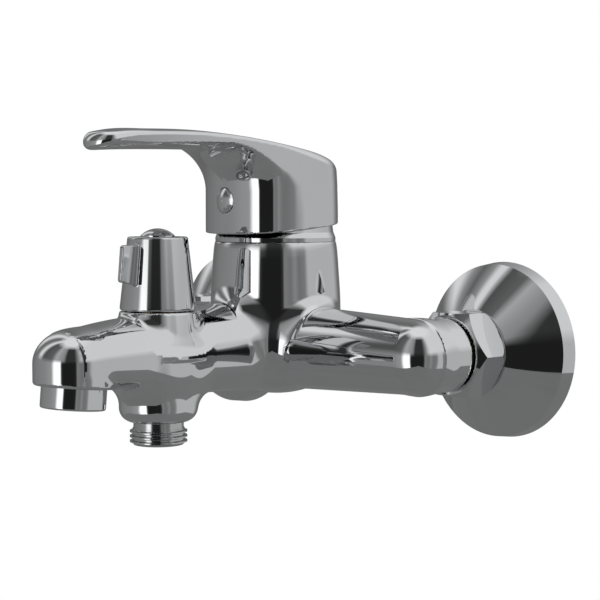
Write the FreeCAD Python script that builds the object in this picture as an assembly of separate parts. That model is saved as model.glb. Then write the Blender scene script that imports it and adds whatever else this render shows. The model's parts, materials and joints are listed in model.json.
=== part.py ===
"""Wall mounted bath and shower mixer with a single lever, in millimetres.

Frame: the origin lies on the finished wall, midway between the two water inlets.
+Y points into the wall, +X to the right seen from the room, +Z up.
Each function makes one piece or one pair of pieces, and save() writes each to its own file.
"""
import FreeCAD
import Part
import math
import os

Vector = FreeCAD.Vector
UP = Vector(0, 0, 1)
ALONG_X = Vector(1, 0, 0)
ALONG_Y = Vector(0, 1, 0)

# ---- overall layout -------------------------------------------------------------------
INLET_SPACING = 150.0      # between the two wall inlets
BODY_REACH = 47.7          # wall to the cartridge axis
DIVERTER_AHEAD = 57.6      # cartridge axis to the diverter and hose outlet axis
NOZZLE_AHEAD = 37.1        # diverter axis to the aerator axis
BODY_TOP = 40.0            # top of the cartridge housing above the inlet axis
LEVER_REACH = 89.3         # cartridge axis to the tip of the lever blade

# ---- casting, outside -----------------------------------------------------------------
ARM_MIDDLE_R = 16.5        # cross tube at the centre
ARM_END_R = 13.45          # cross tube at the elbows
HOUSING_WALL = 2.85        # round the cartridge chamber, at its top
HOUSING_WAIST = 1.35       # how much wider the housing is at its waist than at its top
HOUSING_FOOT = 2.15        # and at its foot
HOUSING_FOOT_Z = 4.0
HOUSING_BOTTOM_Z = -15.5
SPOUT_HALF_WIDTH = 15.5    # where the spout leaves the housing
NOSE_R = 14.35
NOSE_TOP_Z = 11.1
NOSE_SHOULDER_Z = -1.0
NOSE_BOTTOM_Z = -10.0
SEAT_R = 14.0              # raised seat under the diverter knob
SEAT_TOP_Z = 15.6
HOSE_BOSS_R = 14.4
HOSE_BOSS_BOTTOM_Z = -24.7
LEG_LENGTH = 14.1          # cross tube axis to the end face of each elbow

# ---- casting, inside ------------------------------------------------------------------
ARM_WALL = 5.0
ARM_BORE_Z = -4.0          # the arm's bore runs below its axis, clear of the chamber
CHAMBER_R = 20.3           # cartridge chamber
CHAMBER_FLOOR_Z = 6.0
PORT_R = 3.6
PORT_APART = 20.0          # between the hot and the cold port
PORT_BACK = 4.0            # hot and cold ports behind the cartridge axis
PORT_FRONT = 12.0          # mixed port ahead of the cartridge axis
FEED_R = 4.6               # bore from the mixed port to the diverter
FEED_Z = -7.6
DIVERTER_CHAMBER_R = 9.5
DIVERTER_FLOOR_Z = -2.0
SPOUT_BORE_R = 5.5
HOSE_BORE_R = 6.5

# ---- fits -----------------------------------------------------------------------------
RUNNING = 0.06             # radial clearance of a piece that turns in another
LOOSE = 0.3                # clearance between pieces that only pass each other

# ---- pipe threads: major radius, depth and pitch of each -------------------------------
PIPE_HALF = (10.4775, 1.0, 1.814)
PIPE_THREE_QUARTER = (13.2205, 1.0, 1.814)
CREST = 0.5                # flat on each thread crest

# ---- wall unions ----------------------------------------------------------------------
NUT_ACROSS_FLATS = 30.0
NUT_LENGTH = 14.0
NUT_LIP = 3.0
NUT_GAP = 1.1              # dark gap between elbow and nut
TAIL_TUBE_R = 10.6
TAIL_FLANGE_R = 11.8
TAIL_FLANGE = 3.0
TAIL_THREAD_R = 9.9
TAIL_THREAD = 7.5          # its length in the elbow
TAIL_BORE_R = 7.5
WASHER = 2.0
WASHER_BORE_R = 8.0
ECCENTRIC_OFFSET = 8.0     # wall inlet above the union axis
WALL_THREAD_LENGTH = 12.0
ESCUTCHEON_RIM_R = 32.75
ESCUTCHEON_FRONT_R = 32.0
ESCUTCHEON_RIM = 6.0
ESCUTCHEON_NECK_R = 15.8
ESCUTCHEON_WALL = 1.6
NECK_SPACE = 0.4           # between the rosette neck and the union nut

# ---- cartridge ------------------------------------------------------------------------
PIVOT_Z = 36.0             # lever pin height
SPINDLE_TILT = 12.5        # lean of the spindle with the lever down, degrees
SPINDLE_WIDTH = 8.0
PIN_R = 2.0
BALL_R = 3.2
SPINDLE_SWING = 9.4        # room for the spindle each way in the rotor's slot
SPINDLE_BALL_BELOW = 16.0  # pin to ball
SPINDLE_ABOVE = 29.0       # pin to the top of the spindle
BASE_THICKNESS = 4.0
DISC_THICKNESS = 3.0
DRIVER_THICKNESS = 6.0
MOVING_DISC_R = 14.0
ROTOR_R = 15.0
ROTOR_NECK_R = 11.5

# ---- dome ring ------------------------------------------------------------------------
DOME_STEP = 1.1            # how much narrower the dome's shoulder is than the housing
DOME_SHOULDER_Z = 46.0
DOME_TOP_Z = 48.6
DOME_MOUTH_R = 13.5

# ---- lever ----------------------------------------------------------------------------
SKIRT_SPACE = 2.5          # between the dome's shoulder and the outside of the skirt
SKIRT_WALL = 1.35
SKIRT_BOTTOM_Z = 45.2      # at the cartridge axis
SKIRT_SLOPE = 0.091        # the skirt's lower edge rises towards the wall
NECK_NOSE = 1.15           # how far the neck's front stands out from the skirt circle
NECK_CORNER = 2.65         # and its two front corners
BLADE_TIP_R = 9.5
BLADE_FLARE_R = 16.0       # hollow curve from neck to blade
LEVER_CEILING_Z = 61.0
BUTTON_R = 4.6
BUTTON_Z = 55.5
BUTTON_DEPTH = 3.0
BUTTON_DOME = 1.2

# ---- diverter -------------------------------------------------------------------------
KNOB_BOTTOM_R = 13.95
KNOB_TOP_R = 10.9
KNOB_BOTTOM_Z = 16.1
KNOB_HEIGHT = 26.4
KNOB_WALL = 1.6
KNOB_FOOT_ROUND = 1.1      # rounding of its lower edge
KNOB_TOP_EDGE = 0.5
KNOB_TOP_THICKNESS = 6.0
HUB_R = 6.0
FIN_THICKNESS = 1.9
FIN_TOP_Z = 39.8
FIN_ROOT_Z = 25.2          # lower edge where the fin leaves the cone
FIN_TIP_Z = 26.8           # lower edge at its tip
FIN_REACH = 8.6            # how far the fin stands out from the cone
FIN_TURN = 12.4            # turn of the fin from straight ahead, degrees
CAP_R = 6.2
CAP_DOME = 3.0
CAP_PLUG_R = 4.8
KNOB_SCREW_R = 1.7
KNOB_SCREW_DEPTH = 5.0     # underside of the screw's head below the knob's top
BONNET_TOP_Z = 24.0
BONNET_FLANGE = 1.5
STEM_R = 4.0
STEM_TOP_Z = 36.0
SPLINE_TEETH = 20
SPLINE_DEPTH = 0.5
DIVERTER_DISC_R = 7.5
DIVERTER_DISC = 3.0
DIVERTER_PORT_R = 2.4
DIVERTER_PORT_OFFSET = 4.4
DIVERTER_SWING = 45.0      # turn of the knob each way, degrees

# ---- hose nipple and aerator ----------------------------------------------------------
NIPPLE_LENGTH = 8.3        # below the boss
NIPPLE_BORE_R = 6.5
NIPPLE_SHANK_R = 8.8
NIPPLE_SHANK = 7.0
AERATOR_R = 11.5
AERATOR_HEIGHT = 7.6
AERATOR_LEDGE = 0.5        # its lip stands out from its thread
AERATOR_THREAD = 5.0
AERATOR_WALL = 1.3
AERATOR_TILT = 5.0         # the jet leans away from the wall, degrees
AERATOR_SEAT_Z = -9.4

# ---- places that follow from the sizes above --------------------------------------------
HALF_SPACING = INLET_SPACING / 2
AXIS_Y = -BODY_REACH
DIVERTER_Y = AXIS_Y - DIVERTER_AHEAD
NOZZLE_Y = DIVERTER_Y - NOZZLE_AHEAD
ELBOW_Y = AXIS_Y + LEG_LENGTH
NUT_Y = ELBOW_Y + NUT_GAP
FLANGE_Y = NUT_Y + NUT_LIP
WASHER_Y = FLANGE_Y + TAIL_FLANGE
ECCENTRIC_Y = WASHER_Y + WASHER
NUT_END_Y = NUT_Y + NUT_LENGTH
CARTRIDGE_R = CHAMBER_R - LOOSE
HOUSING_TOP_R = CHAMBER_R + HOUSING_WALL
DOME_R = HOUSING_TOP_R + 0.05
DOME_SHOULDER_R = HOUSING_TOP_R - DOME_STEP
SKIRT_R = DOME_SHOULDER_R + SKIRT_SPACE
NECK_FRONT = SKIRT_R + NECK_NOSE
AERATOR_THREAD_R = AERATOR_R - AERATOR_LEDGE
BONNET_FLANGE_R = DIVERTER_CHAMBER_R + 1.2
SIDES = {"left": -1, "right": 1}


def save(name, shape):
    """Check that a piece is one or more sound solids and write its file."""
    if not shape.isValid() or not shape.Solids:
        raise RuntimeError(name + " is not a sound solid")
    shape.exportStep(os.path.join("parts", name + ".step"))


def cylinder(radius, low, high, x=0.0, y=0.0):
    """Upright cylinder between two heights."""
    return Part.makeCylinder(radius, high - low, Vector(x, y, low), UP)


def box(x0, x1, y0, y1, z0, z1):
    """Block between two corners."""
    return Part.makeBox(x1 - x0, y1 - y0, z1 - z0, Vector(x0, y0, z0))


def turned(points):
    """Solid of revolution about Z. Points are (radius, height); a triple bends through its
    first pair to its second, as an arc."""
    edges = []
    place = points[0]
    for step in list(points[1:]) + [points[0]]:
        start = Vector(place[0], 0, place[1])
        end = Vector(step[-2], 0, step[-1])
        if len(step) == 4:
            edges.append(Part.Arc(start, Vector(step[0], 0, step[1]), end).toShape())
        elif start.distanceToPoint(end) > 1e-6:
            edges.append(Part.LineSegment(start, end).toShape())
        place = (step[-2], step[-1])
    return Part.Face(Part.Wire(edges)).revolve(Vector(0, 0, 0), UP, 360)


def ring(inner, outer, low, high):
    """Plain ring about Z."""
    return turned([(inner, low), (outer, low), (outer, high), (inner, high)])


def dome(radius, rise, base):
    """Arc for turned(): from (radius, base) over a spherical cap to the axis."""
    ball = (radius ** 2 + rise ** 2) / (2 * rise)
    half = math.asin(radius / ball) / 2
    return (ball * math.sin(half), base + rise - ball * (1 - math.cos(half)), 0, base + rise)


def moved(shape, x=0.0, y=0.0, z=0.0):
    """Copy of a shape, shifted."""
    copy = shape.copy()
    copy.translate(Vector(x, y, z))
    return copy


def along_wall_axis(shape, side, y):
    """Copy of a piece made about Z, laid so that its +Z runs into the wall (+Y)."""
    copy = shape.copy()
    copy.rotate(Vector(0, 0, 0), ALONG_X, -90)
    copy.translate(Vector(side * HALF_SPACING, y, 0))
    return copy


def at_axis(shape):
    """Copy of a piece made about Z, placed on the cartridge axis."""
    return moved(shape, y=AXIS_Y)


def at_diverter(shape):
    """Copy of a piece made about Z, placed on the diverter axis."""
    return moved(shape, y=DIVERTER_Y)


def at_nozzle(shape):
    """Copy of a piece made about Z, placed under the nose and tilted with the jet."""
    copy = shape.copy()
    copy.rotate(Vector(0, 0, 0), ALONG_X, -AERATOR_TILT)
    copy.translate(Vector(0, NOZZLE_Y, AERATOR_SEAT_Z))
    return copy


def tilted_with_spindle(shape):
    """Copy of a piece made about Z around the lever pin, leaning with the spindle."""
    copy = shape.copy()
    copy.rotate(Vector(0, 0, 0), ALONG_X, SPINDLE_TILT)
    copy.translate(Vector(0, AXIS_Y, PIVOT_Z))
    return copy


def thread_outline(thread, low, high, grow=0.0):
    """Outline of ridges (radius, height) from low to high: flat crests, sloping flanks."""
    major, depth, pitch = thread
    flank = (pitch - 2 * CREST) / 2
    points = []
    height = low
    while height + pitch <= high + 1e-6:
        points.append((major - depth + grow, height))
        points.append((major + grow, height + flank))
        points.append((major + grow, height + flank + CREST))
        points.append((major - depth + grow, height + 2 * flank + CREST))
        height += pitch
    points.append((major - depth + grow, high))
    return points


def threaded_rod(thread, low, high, grow=0.0):
    """Solid rod about Z that carries the ridges of a thread."""
    outline = thread_outline(thread, low, high, grow)
    return turned([(0, low)] + outline + [(0, high)])


def hexagon(across_flats, low, high):
    """Hexagonal prism about Z with two corners on the X axis."""
    corner = across_flats / math.sqrt(3)
    points = [Vector(corner * math.cos(math.radians(60 * i)),
                     corner * math.sin(math.radians(60 * i)), low) for i in range(7)]
    return Part.Face(Part.makePolygon(points)).extrude(Vector(0, 0, high - low))


def cross_tube(middle_r, end_r, tip_r):
    """Tapered tube along X through both elbows, each end closed by a ball of tip_r."""
    slope = math.atan((middle_r - end_r) / HALF_SPACING)
    start = Vector(0, 0, middle_r)
    tangent = Vector(HALF_SPACING + tip_r * math.sin(slope), 0, tip_r * math.cos(slope))
    middle = Vector(HALF_SPACING + tip_r * math.sqrt(0.5), 0, tip_r * math.sqrt(0.5))
    tip = Vector(HALF_SPACING + tip_r, 0, 0)
    edges = [Part.LineSegment(Vector(0, 0, 0), start).toShape(),
             Part.LineSegment(start, tangent).toShape(),
             Part.Arc(tangent, middle, tip).toShape(),
             Part.LineSegment(tip, Vector(0, 0, 0)).toShape()]
    half = Part.Face(Part.Wire(edges)).revolve(Vector(0, 0, 0), ALONG_X, 360)
    whole = half.fuse(half.mirror(Vector(0, 0, 0), ALONG_X))
    return moved(whole, y=AXIS_Y)


def spout_section(y, half_width, top, bottom):
    """Closed section of the spout: half an ellipse above, a squarer curve below."""
    points = []
    count = 28
    for i in range(count):
        angle = 2 * math.pi * i / count
        across = math.cos(angle)
        upward = math.sin(angle)
        power = 2 / 2.0 if upward >= 0 else 2 / 2.6
        reach = top - NOSE_SHOULDER_Z if upward >= 0 else NOSE_SHOULDER_Z - bottom
        x = half_width * math.copysign(abs(across) ** power, across)
        z = NOSE_SHOULDER_Z + reach * math.copysign(abs(upward) ** power, upward)
        points.append(Vector(x, y, z))
    curve = Part.BSplineCurve()
    curve.interpolate(points, PeriodicFlag=True)
    return Part.Wire([curve.toShape()])


def spout_solid():
    """Loft from the housing to inside the nose."""
    length = DIVERTER_AHEAD + NOZZLE_AHEAD
    wide = SPOUT_HALF_WIDTH
    sections = [(0.05, wide + 0.1, 18.6, -16.3),
                (0.27, wide, 18.3, -16.1),
                (0.46, wide - 0.3, 15.3, -15.2),
                (0.64, wide - 0.5, 14.5, -13.8),
                (0.82, wide - 0.9, 13.6, -12.1),
                (0.97, wide - 1.6, 11.4, -10.6),
                (1.05, wide - 2.3, 9.4, -9.9)]
    wires = [spout_section(AXIS_Y - share * length, half, top, bottom)
             for share, half, top, bottom in sections]
    return Part.makeLoft(wires, True, False)


def quarter_curve(r_side, z_side, z_pole):
    """Quarter ellipse from the axis at z_pole to radius r_side at z_side, as an edge."""
    count = 8
    points = []
    for i in range(count + 1):
        angle = math.pi / 2 * i / count
        z = z_side + (z_pole - z_side) * math.cos(angle)
        points.append(Vector(r_side * math.sin(angle), 0, z))
    curve = Part.BSplineCurve()
    upright = Vector(0, 0, math.copysign(1, z_side - z_pole))
    curve.interpolate(points, InitialTangent=ALONG_X, FinalTangent=upright)
    return curve.toShape()


def revolve_edges(edges):
    """Solid of revolution about Z from edges in the XZ plane."""
    return Part.Face(Part.Wire(edges)).revolve(Vector(0, 0, 0), UP, 360)


def housing_solid():
    """Barrel round the cartridge: slight taper upward, bowl below."""
    foot_r = HOUSING_TOP_R + HOUSING_FOOT
    foot = Vector(foot_r, 0, HOUSING_FOOT_Z)
    waist = Vector(HOUSING_TOP_R + HOUSING_WAIST, 0, 0.67 * BODY_TOP)
    rim = Vector(HOUSING_TOP_R, 0, BODY_TOP)
    top = Vector(0, 0, BODY_TOP)
    bottom = Vector(0, 0, HOUSING_BOTTOM_Z)
    edges = [quarter_curve(foot_r, HOUSING_FOOT_Z, HOUSING_BOTTOM_Z),
             Part.Arc(foot, waist, rim).toShape(),
             Part.LineSegment(rim, top).toShape(),
             Part.LineSegment(top, bottom).toShape()]
    return at_axis(revolve_edges(edges))


def nose_solid():
    """Domed upright end of the spout over the aerator."""
    shoulder = Vector(NOSE_R, 0, NOSE_SHOULDER_Z)
    foot = Vector(NOSE_R, 0, NOSE_BOTTOM_Z)
    centre = Vector(0, 0, NOSE_BOTTOM_Z)
    edges = [quarter_curve(NOSE_R, NOSE_SHOULDER_Z, NOSE_TOP_Z),
             Part.LineSegment(shoulder, foot).toShape(),
             Part.LineSegment(foot, centre).toShape(),
             Part.LineSegment(centre, Vector(0, 0, NOSE_TOP_Z)).toShape()]
    return moved(revolve_edges(edges), y=NOZZLE_Y)


def hose_boss_solid():
    """Round boss under the spout, rounded in to the hose nipple."""
    lower = HOSE_BOSS_BOTTOM_Z
    outline = [(0, -4.0), (HOSE_BOSS_R, -4.0), (HOSE_BOSS_R, lower + 6.2),
               (HOSE_BOSS_R - 1.6, lower + 2.3, HOSE_BOSS_R - 4.2, lower), (0, lower)]
    return at_diverter(turned(outline))


def body_casting():
    """The chromed casting with its waterways."""
    slope = math.atan((ARM_MIDDLE_R - ARM_END_R) / HALF_SPACING)
    ball_r = ARM_END_R * math.cos(slope)
    outer = cross_tube(ARM_MIDDLE_R, ARM_END_R, ball_r)
    for side in SIDES.values():
        leg = Part.makeCylinder(ball_r, LEG_LENGTH, Vector(side * HALF_SPACING, AXIS_Y, 0), ALONG_Y)
        outer = outer.fuse(leg)
    outer = outer.fuse(housing_solid()).removeSplitter()
    outer = outer.fuse(spout_solid()).removeSplitter()
    outer = outer.fuse(nose_solid()).removeSplitter()
    seat = at_diverter(turned([(0, 5.0), (SEAT_R + 1.6, 5.0), (SEAT_R, SEAT_TOP_Z), (0, SEAT_TOP_Z)]))
    outer = outer.fuse([seat, hose_boss_solid()]).removeSplitter()
    return outer.cut(waterways()).removeSplitter()


def waterways():
    """Everything that is bored or cored out of the casting."""
    tools = []
    arm_bore = ARM_END_R - ARM_WALL
    inner_end = PORT_R + 3.0
    for side in SIDES.values():
        x = side * HALF_SPACING
        bore_length = HALF_SPACING - inner_end
        start = Vector(side * inner_end, AXIS_Y, ARM_BORE_Z)
        tools.append(Part.makeCylinder(arm_bore, bore_length, start, Vector(side, 0, 0)))
        tools.append(Part.makeSphere(arm_bore, Vector(x, AXIS_Y, ARM_BORE_Z)))
        elbow = Vector(x, AXIS_Y, -1.5)
        tools.append(Part.makeCylinder(arm_bore, LEG_LENGTH + 1, elbow, ALONG_Y))
        socket_start = Vector(x, ELBOW_Y - TAIL_THREAD - 0.5, 0)
        tools.append(Part.makeCylinder(TAIL_THREAD_R, TAIL_THREAD + 1.5, socket_start, ALONG_Y))
        inlet = cylinder(PORT_R, ARM_BORE_Z, CHAMBER_FLOOR_Z + 1, side * PORT_APART / 2, AXIS_Y + PORT_BACK)
        tools.append(inlet)
    tools.append(at_axis(cylinder(CHAMBER_R, CHAMBER_FLOOR_Z, BODY_TOP + 1)))
    mixed_y = AXIS_Y - PORT_FRONT
    tools.append(cylinder(PORT_R + 0.4, FEED_Z, CHAMBER_FLOOR_Z + 1, 0, mixed_y))
    feed_start = Vector(0, mixed_y, FEED_Z)
    feed_end_y = DIVERTER_Y + DIVERTER_PORT_OFFSET - 0.5
    tools.append(Part.makeCylinder(FEED_R, mixed_y - feed_end_y, feed_start, Vector(0, -1, 0)))
    tools.append(at_diverter(cylinder(DIVERTER_CHAMBER_R, DIVERTER_FLOOR_Z, SEAT_TOP_Z + 1)))
    tools.append(at_diverter(cylinder(BONNET_FLANGE_R, SEAT_TOP_Z - BONNET_FLANGE, SEAT_TOP_Z + 1)))
    back_port = DIVERTER_Y + DIVERTER_PORT_OFFSET
    front_port = DIVERTER_Y - DIVERTER_PORT_OFFSET
    tools.append(cylinder(DIVERTER_PORT_R, FEED_Z, DIVERTER_FLOOR_Z + 1, 0, back_port))
    tools.append(cylinder(DIVERTER_PORT_R, HOSE_BOSS_BOTTOM_Z + 4, DIVERTER_FLOOR_Z + 1, 0, front_port))
    hose_top = HOSE_BOSS_BOTTOM_Z + NIPPLE_SHANK + 2.0
    tools.append(at_diverter(cylinder(HOSE_BORE_R, HOSE_BOSS_BOTTOM_Z - 1, hose_top)))
    tools.append(at_diverter(cylinder(NIPPLE_SHANK_R, HOSE_BOSS_BOTTOM_Z - 1,
                                      HOSE_BOSS_BOTTOM_Z + NIPPLE_SHANK)))
    jet_start = Vector(0, DIVERTER_Y - DIVERTER_CHAMBER_R + 2.0, 0)
    tools.append(Part.makeCylinder(SPOUT_BORE_R, NOZZLE_AHEAD - DIVERTER_CHAMBER_R + 2.0,
                                   jet_start, Vector(0, -1, 0)))
    tools.append(moved(Part.makeSphere(SPOUT_BORE_R), y=NOZZLE_Y))
    tools.append(at_nozzle(cylinder(SPOUT_BORE_R, 0, 9.4)))
    tools.append(at_nozzle(cylinder(AERATOR_THREAD_R, -20.0, AERATOR_THREAD + 1.5)))
    tools.append(at_nozzle(cylinder(NOSE_R + 4, -20.0, 0)))
    return Part.makeCompound(tools)


def tailpiece():
    """Bushing screwed into an elbow; its flange carries the union nut. Made about Z with
    z = 0 at the elbow's end face and +Z into the wall."""
    flange_low = NUT_GAP + NUT_LIP
    flange_high = flange_low + TAIL_FLANGE
    return turned([(TAIL_BORE_R, -TAIL_THREAD), (TAIL_THREAD_R, -TAIL_THREAD), (TAIL_THREAD_R, 0),
                   (TAIL_TUBE_R, 0), (TAIL_TUBE_R, flange_low), (TAIL_FLANGE_R, flange_low),
                   (TAIL_FLANGE_R, flange_high), (TAIL_BORE_R, flange_high)])


def union_nut():
    """Hexagon nut with an inward lip, made about Z with z = 0 at the lip's outer face."""
    corner = NUT_ACROSS_FLATS / math.sqrt(3)
    flat = NUT_ACROSS_FLATS / 2
    shape = hexagon(NUT_ACROSS_FLATS, 0, NUT_LENGTH)
    front = turned([(0, 0), (flat - 0.6, 0), (corner + 0.1, 2.2), (corner + 0.1, NUT_LENGTH - 5.5),
                    (corner - 0.8, NUT_LENGTH - 1.8, flat - 0.5, NUT_LENGTH), (0, NUT_LENGTH)])
    shape = shape.common(front)
    lip_hole = cylinder(TAIL_TUBE_R + RUNNING, -1, NUT_LIP + 1)
    recess = cylinder(TAIL_FLANGE_R + LOOSE, NUT_LIP, NUT_LIP + TAIL_FLANGE + WASHER)
    low = NUT_LIP + TAIL_FLANGE + WASHER
    thread = threaded_rod(PIPE_THREE_QUARTER, low, low + 4 * PIPE_THREE_QUARTER[2], RUNNING)
    minor = PIPE_THREE_QUARTER[0] - PIPE_THREE_QUARTER[1] + RUNNING
    rest = cylinder(PIPE_THREE_QUARTER[0] + LOOSE, low + 2 * PIPE_THREE_QUARTER[2], NUT_LENGTH + 1)
    cuts = Part.makeCompound([lip_hole, recess, thread, cylinder(minor, low - 0.5, low + 0.5), rest])
    return shape.cut(cuts)


def union_washer():
    """Flat rubber washer between tailpiece and eccentric."""
    return ring(WASHER_BORE_R, TAIL_FLANGE_R, 0, WASHER)


def eccentric():
    """Eccentric wall union, made about Z with z = 0 at the face on the washer: a 3/4 inch
    thread for the nut, an offset body, and a 1/2 inch thread for the wall fitting."""
    to_wall = -ECCENTRIC_Y
    thread_end = 2 * PIPE_THREE_QUARTER[2]
    root_r = PIPE_THREE_QUARTER[0] - 0.4
    big = threaded_rod(PIPE_THREE_QUARTER, 0, thread_end)
    big = big.fuse(cylinder(root_r, thread_end, to_wall - 9.0))
    lower = Part.Wire([Part.makeCircle(root_r, Vector(0, 0, to_wall - 9.0))])
    upper = Part.Wire([Part.makeCircle(PIPE_HALF[0] + 0.8, Vector(0, -ECCENTRIC_OFFSET, to_wall - 1.5))])
    joint = Part.makeLoft([lower, upper], True, True)
    small_low = to_wall - 1.5
    small = threaded_rod(PIPE_HALF, small_low, to_wall + WALL_THREAD_LENGTH)
    small = moved(small, y=-ECCENTRIC_OFFSET)
    outer = big.fuse([joint, small])
    big_bore = cylinder(WASHER_BORE_R, -1, to_wall - 4.0)
    small_bore = moved(cylinder(TAIL_BORE_R, to_wall - 6.5, to_wall + WALL_THREAD_LENGTH + 1),
                       y=-ECCENTRIC_OFFSET)
    return outer.cut(Part.makeCompound([big_bore, small_bore])).removeSplitter()


def escutcheon():
    """Wall rosette: short rim, hollow-sided cone, round neck. z = 0 on the wall, +Z into it."""
    neck_z = NUT_END_Y + NECK_SPACE
    rim = ESCUTCHEON_RIM
    wall = ESCUTCHEON_WALL
    outer = [(ESCUTCHEON_RIM_R, 0), (ESCUTCHEON_FRONT_R, -rim)]
    curve_mid = (ESCUTCHEON_NECK_R + 5.2, neck_z + 3.6)
    neck = (ESCUTCHEON_NECK_R, neck_z)
    hole = PIPE_THREE_QUARTER[0] + LOOSE
    inner_mid = (curve_mid[0] - 0.6, curve_mid[1] + wall + 0.6)
    profile = outer + [curve_mid + neck, (hole, neck_z), (hole, neck_z + wall + 0.2),
                       inner_mid + (ESCUTCHEON_FRONT_R - wall, -rim + wall),
                       (ESCUTCHEON_RIM_R - wall, 0)]
    return turned(profile)


def cartridge_housing():
    """Plastic can that holds the discs, open below, with a neck for the lever guide."""
    low = CHAMBER_FLOOR_Z + BASE_THICKNESS
    neck = ROTOR_NECK_R + RUNNING
    inside = ROTOR_R + RUNNING
    roof = PIVOT_Z + 4.0
    return at_axis(turned([(CARTRIDGE_R - 1.8, low), (CARTRIDGE_R, low), (CARTRIDGE_R, PIVOT_Z - 2.0),
                           (inside + 1.8, PIVOT_Z - 2.0), (inside + 1.8, roof + 2.0),
                           (neck, roof + 2.0), (neck, roof), (inside, roof), (inside, 24.2),
                           (CARTRIDGE_R - 1.8, 24.2)]))


def cartridge_ports():
    """Port tools through the cartridge base: hot, cold and mixed."""
    low = CHAMBER_FLOOR_Z - 1
    return [cylinder(PORT_R, low, PIVOT_Z, x, y) for x, y in port_places()]


def cartridge_base():
    """Plastic foot of the cartridge with a seal groove round each port."""
    low = CHAMBER_FLOOR_Z
    plate = at_axis(cylinder(CARTRIDGE_R, low, low + BASE_THICKNESS))
    grooves = [moved(ring(PORT_R + 0.4, PORT_R + 2.4, low - 0.1, low + 1.6), x, y)
               for x, y in port_places()]
    return plate.cut(Part.makeCompound(cartridge_ports() + grooves))


def port_places():
    """Centres of the cartridge ports."""
    inlet_y = AXIS_Y + PORT_BACK
    return [(-PORT_APART / 2, inlet_y), (PORT_APART / 2, inlet_y), (0.0, AXIS_Y - PORT_FRONT)]


def base_seals():
    """Rubber rings in the grooves of the cartridge base."""
    rings = [moved(ring(PORT_R + 0.5, PORT_R + 2.3, CHAMBER_FLOOR_Z, CHAMBER_FLOOR_Z + 1.5), x, y)
             for x, y in port_places()]
    return Part.makeCompound(rings)


def fixed_disc():
    """Ceramic disc with the three ports, still in the can."""
    low = CHAMBER_FLOOR_Z + BASE_THICKNESS
    plate = at_axis(cylinder(CARTRIDGE_R - 1.9, low, low + DISC_THICKNESS))
    return plate.cut(Part.makeCompound(cartridge_ports()))


def disc_lean():
    """How far the ball stands behind the cartridge axis with the lever down."""
    return SPINDLE_BALL_BELOW * math.sin(math.radians(SPINDLE_TILT))


def moving_disc():
    """Ceramic disc that slides and turns on the fixed one; a pocket joins the ports."""
    low = CHAMBER_FLOOR_Z + BASE_THICKNESS + DISC_THICKNESS
    centre_y = AXIS_Y + disc_lean()
    plate = cylinder(MOVING_DISC_R, low, low + DISC_THICKNESS, 0, centre_y)
    pocket = cylinder(8.0, low - 1, low + 1.6, 0, centre_y)
    return plate.cut(pocket)


def disc_driver():
    """Plastic carrier on the moving disc, with the socket for the spindle's ball."""
    low = CHAMBER_FLOOR_Z + BASE_THICKNESS + 2 * DISC_THICKNESS
    centre_y = AXIS_Y + disc_lean()
    plate = cylinder(MOVING_DISC_R, low, low + 1.5, 0, centre_y)
    socket = cylinder(6.0, low + 1.5, low + DRIVER_THICKNESS, 0, centre_y)
    hole = cylinder(BALL_R + LOOSE, low + 0.4, low + DRIVER_THICKNESS + 1, 0, centre_y)
    return plate.fuse(socket).cut(hole)


def swivel_rotor():
    """Plastic guide that turns with the lever and carries its pin."""
    low = CHAMBER_FLOOR_Z + BASE_THICKNESS + 2 * DISC_THICKNESS + DRIVER_THICKNESS + 1.8
    shape = turned([(0, low), (ROTOR_R, low), (ROTOR_R, PIVOT_Z + 3.9),
                    (ROTOR_NECK_R, PIVOT_Z + 3.9), (ROTOR_NECK_R, PIVOT_Z + 9.0),
                    (0, PIVOT_Z + 9.0)])
    shape = at_axis(shape)
    half = SPINDLE_WIDTH / 2 + LOOSE
    slot = box(-half, half, AXIS_Y - SPINDLE_SWING, AXIS_Y + SPINDLE_SWING, low - 1, PIVOT_Z + 12)
    pin_bore = Part.makeCylinder(PIN_R, 2 * ROTOR_R + 2, Vector(-ROTOR_R - 1, AXIS_Y, PIVOT_Z), ALONG_X)
    return shape.cut(Part.makeCompound([slot, pin_bore]))


def lever_pin():
    """Steel cross pin, fixed in the rotor."""
    length = 2 * ROTOR_NECK_R
    start = Vector(-length / 2, AXIS_Y, PIVOT_Z)
    return Part.makeCylinder(PIN_R, length, start, ALONG_X)


def lever_spindle():
    """Square spindle that rocks on the pin; its ball moves the disc."""
    half = SPINDLE_WIDTH / 2
    shaft = box(-half, half, -half, half, -7.0, SPINDLE_ABOVE)
    shaft = shaft.fuse(cylinder(2.2, -SPINDLE_BALL_BELOW, -6.5))
    shaft = shaft.fuse(Part.makeSphere(BALL_R, Vector(0, 0, -SPINDLE_BALL_BELOW)))
    bore = Part.makeCylinder(PIN_R + RUNNING, SPINDLE_WIDTH + 2, Vector(-half - 1, 0, 0), ALONG_X)
    return tilted_with_spindle(shaft.cut(bore))


def retaining_nut():
    """Brass ring nut that presses the cartridge down, with four key slots."""
    low = PIVOT_Z - 2.0
    inside = ROTOR_R + RUNNING + 1.8 + LOOSE
    shape = at_axis(ring(inside, CHAMBER_R, low, BODY_TOP + 1.5))
    slots = []
    for turn in range(4):
        slot = box(inside - 1, CHAMBER_R + 1, -1.6, 1.6, BODY_TOP - 0.5, BODY_TOP + 3)
        slot.rotate(Vector(0, 0, 0), UP, 90 * turn + 45)
        slots.append(at_axis(slot))
    return shape.cut(Part.makeCompound(slots))


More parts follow.
